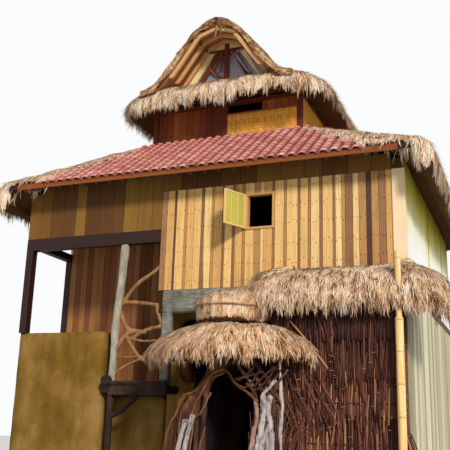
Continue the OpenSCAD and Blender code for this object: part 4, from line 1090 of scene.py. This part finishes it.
PLAIN = {
    "slab": "ground_slab", "clay": "lower_wall_back", "dark": "wing_frame", "honey_across": "upper_floor",
    "dark_across": "deck_floor tile_roof attic_floor", "cream": "corner_board", "maroon": "room_side_wall",
    "panel": "panel_wall_right panel_wall_left", "frame": "window_frame", "orange": "eave_fascia",
    "rafter": "eave_rafters", "red": "attic_frame gable_truss", "mat_under": "attic_mats", "attic": "attic_boards",
    "poles": "gable_ribs", "gable_cream": "gable_frame", "pane": "gable_glass", "bamboo": "awning_poles",
}


def walls():
    """Everything boarded, and the joints of the panels."""
    front_wall()
    boards("back_boards", "board_wall_back", "honey_boards", "honey", (0.17, 0.15, 0.13), 12,
           tints="thbtchbtbhthcbt")
    boards("band_boards", "eave_band", "honey_boards", "shade", (0.42, 0.35, 0.5), 13, 0.006)
    boards("wing_band_boards", "wing_boards", "dark_timber", "shade", (0.3, 0.24, 0.34), 17, 0.006)
    boards("veranda_boards", "veranda_wall", "dark_timber", "maroon", (0.16, 0.14), 14)
    for side in ("right", "left"):
        boards("side_planks_" + side, "plank_wall_" + side, "grey_planks", "grey", (0.26, 0.3, 0.22), 15, 0.012,
               axis=1)
    joints, rail = Piece(), Piece()
    for node, s in (("panel_wall_right", 1), ("panel_wall_left", -1)):
        lo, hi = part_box(node)
        top, face = top_of(node), hi.x if s > 0 else lo.x
        edge = face + 0.005 * s
        for y in (-0.3, 1.9):
            joints.box((min(face, edge), y - 0.012, lo.z), (max(face, edge), y + 0.012, top(y) - 0.01), 0.1)
    joints.make("panel_joints", "dark_timber", "dark_and_painted_shade")
    lo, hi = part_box("board_wall_back")
    rail.box((lo.x, hi.y - 0.09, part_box("lower_wall_back")[1].z - 0.03), (hi.x, hi.y + 0.02, lo.z + 0.03), 0.4)
    rail.make("back_rail", "dark_timber", "dark_across", bevel=0.006)


def roofs():
    """Everything thatched. The numbers are the strands and their length."""
    gable = thatched("gable_thatch", 26000, 0.26, 41, "thatch_brown", keep=outer_slope, hang=0.06, spread=0.09)
    lined(gable, "lining", outer_slope)
    straw("gable_verge_straw", gable, 12000, 0.22, 51, "thatch_brown", 0.009, keep=verge, hang=0.02, spread=0.09,
          course=along_verge("gable_thatch"))
    corner = Vector((4.0, 3.35, 0))
    away = away_from(-corner, corner)
    thatched("side_thatch", 34000, 0.34, 42, voxel=0.09, low=0.34, trim=(6.5, 0.5), hang=0.44, width=0.014,
             shade=-0.16, keep=lambda p, n: away(p, n) or (abs(p.y) > 2.2 and n.x * p.x < 0 < n.z))
    thatched("attic_skirt", 34000, 0.28, 43, low=0.42, trim=(8.9, 0.5), hang=skirt_fringe, shade=-0.17,
             keep=away_from(*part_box("attic_frame")))
    lo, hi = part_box("porch_skirt")
    middle, half = (lo + hi) / 2, Vector((0.4, 0.3, 0))
    round_porch = away_from(middle - half, middle + half)
    thatched("porch_skirt", 26000, 0.28, 44, "thatch_rosy", low=0.42, trim=(3.2, 0.5), hang=0.48, shade=-0.07,
             keep=lambda p, n: round_porch(p, n) and not (p.y > middle.y + 0.35 and n.z < 0.6))
    dome()
    thatched("awning_thatch", 28000, 0.28, 46, low=0.42, trim=(4.05, 0.52), hang=0.62, keep=away, shade=0.03)
    rolls()


def build():
    walls()
    window()
    tile_slope("pantiles_front", -1, 31)
    tile_slope("pantiles_back", 1, 32)
    mats()
    wattle()
    roofs()
    vines()
    gable_details()
    organic("arch_branches", "porch_arch", "bark", 0.0185, 0.012, 0.12)
    organic("driftwood", "driftwood_trunks", "driftwood", 0.021, 0.022, 0.16)
    organic("rail_branches", "balcony_rail", "branch", 0.014, 0.01, 0.1)
    organic("leaning_post", "log_post", "post", 0.03, 0.02, 0.2)
    organic("balcony_supports", "balcony_frame", "char", 0.02, 0.008, 0.12)
    organic("grey_lintel", "lintel_frame", "lintel", 0.038, 0.012, 0.2, (0.4, 1, 1))
    for node in ("wing_walls", "hall_wall_left", "hall_wall_right", "door_head"):
        obj = roughen(remeshed(node + "_plaster", node, 0.08, 1), 0.008, 0.3, 6)
        dress(obj, "plaster", node, smooth=True)
    for material, nodes in PLAIN.items():
        for node in nodes.split():
            NODES[node].data.materials.clear()
            NODES[node].data.materials.append(M[material])


def camera():
    """The photo's camera, as it was fitted: place, lens, and three turns in degrees."""
    data = bpy.data.cameras.new("photo_camera")
    data.sensor_width, data.lens = 36, 61.74
    obj = new_object("photo_camera", data)
    yaw, pitch, tilt = (radians(a) for a in (22.448, 15.493, 1.788))
    ahead = Vector((-sin(yaw), cos(yaw), 0))
    right = Vector((cos(yaw), sin(yaw), 0))
    forward = ahead * cos(pitch) + UP * sin(pitch)
    above = -ahead * sin(pitch) + UP * cos(pitch)
    x = right * cos(tilt) + above * sin(tilt)
    y = -right * sin(tilt) + above * cos(tilt)
    turn = Matrix((x, y, -forward)).transposed().to_4x4()
    obj.matrix_world = Matrix.Translation((6.0656, -16.6427, 1.6)) @ turn
    bpy.context.scene.camera = obj


def stage():
    """Pale floor, pale backdrop and soft light."""
    s = 300
    floor = mesh_object("floor", [(-s, -s, 0), (s, -s, 0), (s, s, 0), (-s, s, 0)], [(0, 1, 2, 3)])
    floor.location.z = -0.002
    f = Finish("floor", 0.9, 0.0)
    f.base = f.ramp(f.noise((0.2, 0.2, 0.2)), "0.3 DEDCD8 0.7 E2E0DC")
    floor.data.materials.append(f.done())
    world = bpy.data.worlds.new("studio")
    bpy.context.scene.world = world
    world.use_nodes = True
    g = Graph(world.node_tree)
    g.tree.nodes.clear()
    ray = g.add("LightPath").outputs
    seen = g.math("MAXIMUM", ray["Is Camera Ray"], ray["Is Glossy Ray"])
    seen = g.math("MAXIMUM", seen, ray["Is Transmission Ray"])
    light = g.add("Background", {"Color": (0.93, 0.97, 1, 1), "Strength": 0.42})
    back = g.add("Background", {"Color": (0.96, 0.97, 0.98, 1), "Strength": 1.0})
    mix = g.add("MixShader", {0: seen, 1: light.outputs[0], 2: back.outputs[0]})
    g.add("OutputWorld", {0: mix.outputs[0]})
    sun = bpy.data.lights.new("key", "SUN")
    sun.energy, sun.angle, sun.color = 3.4, radians(10), (1, 0.97, 0.91)
    new_object("key", sun).rotation_euler = Vector((0.6, -0.68, 0.5)).to_track_quat("Z", "Y").to_euler()
    bpy.context.scene.view_settings.view_transform = "Standard"


camera()
build()
stage()
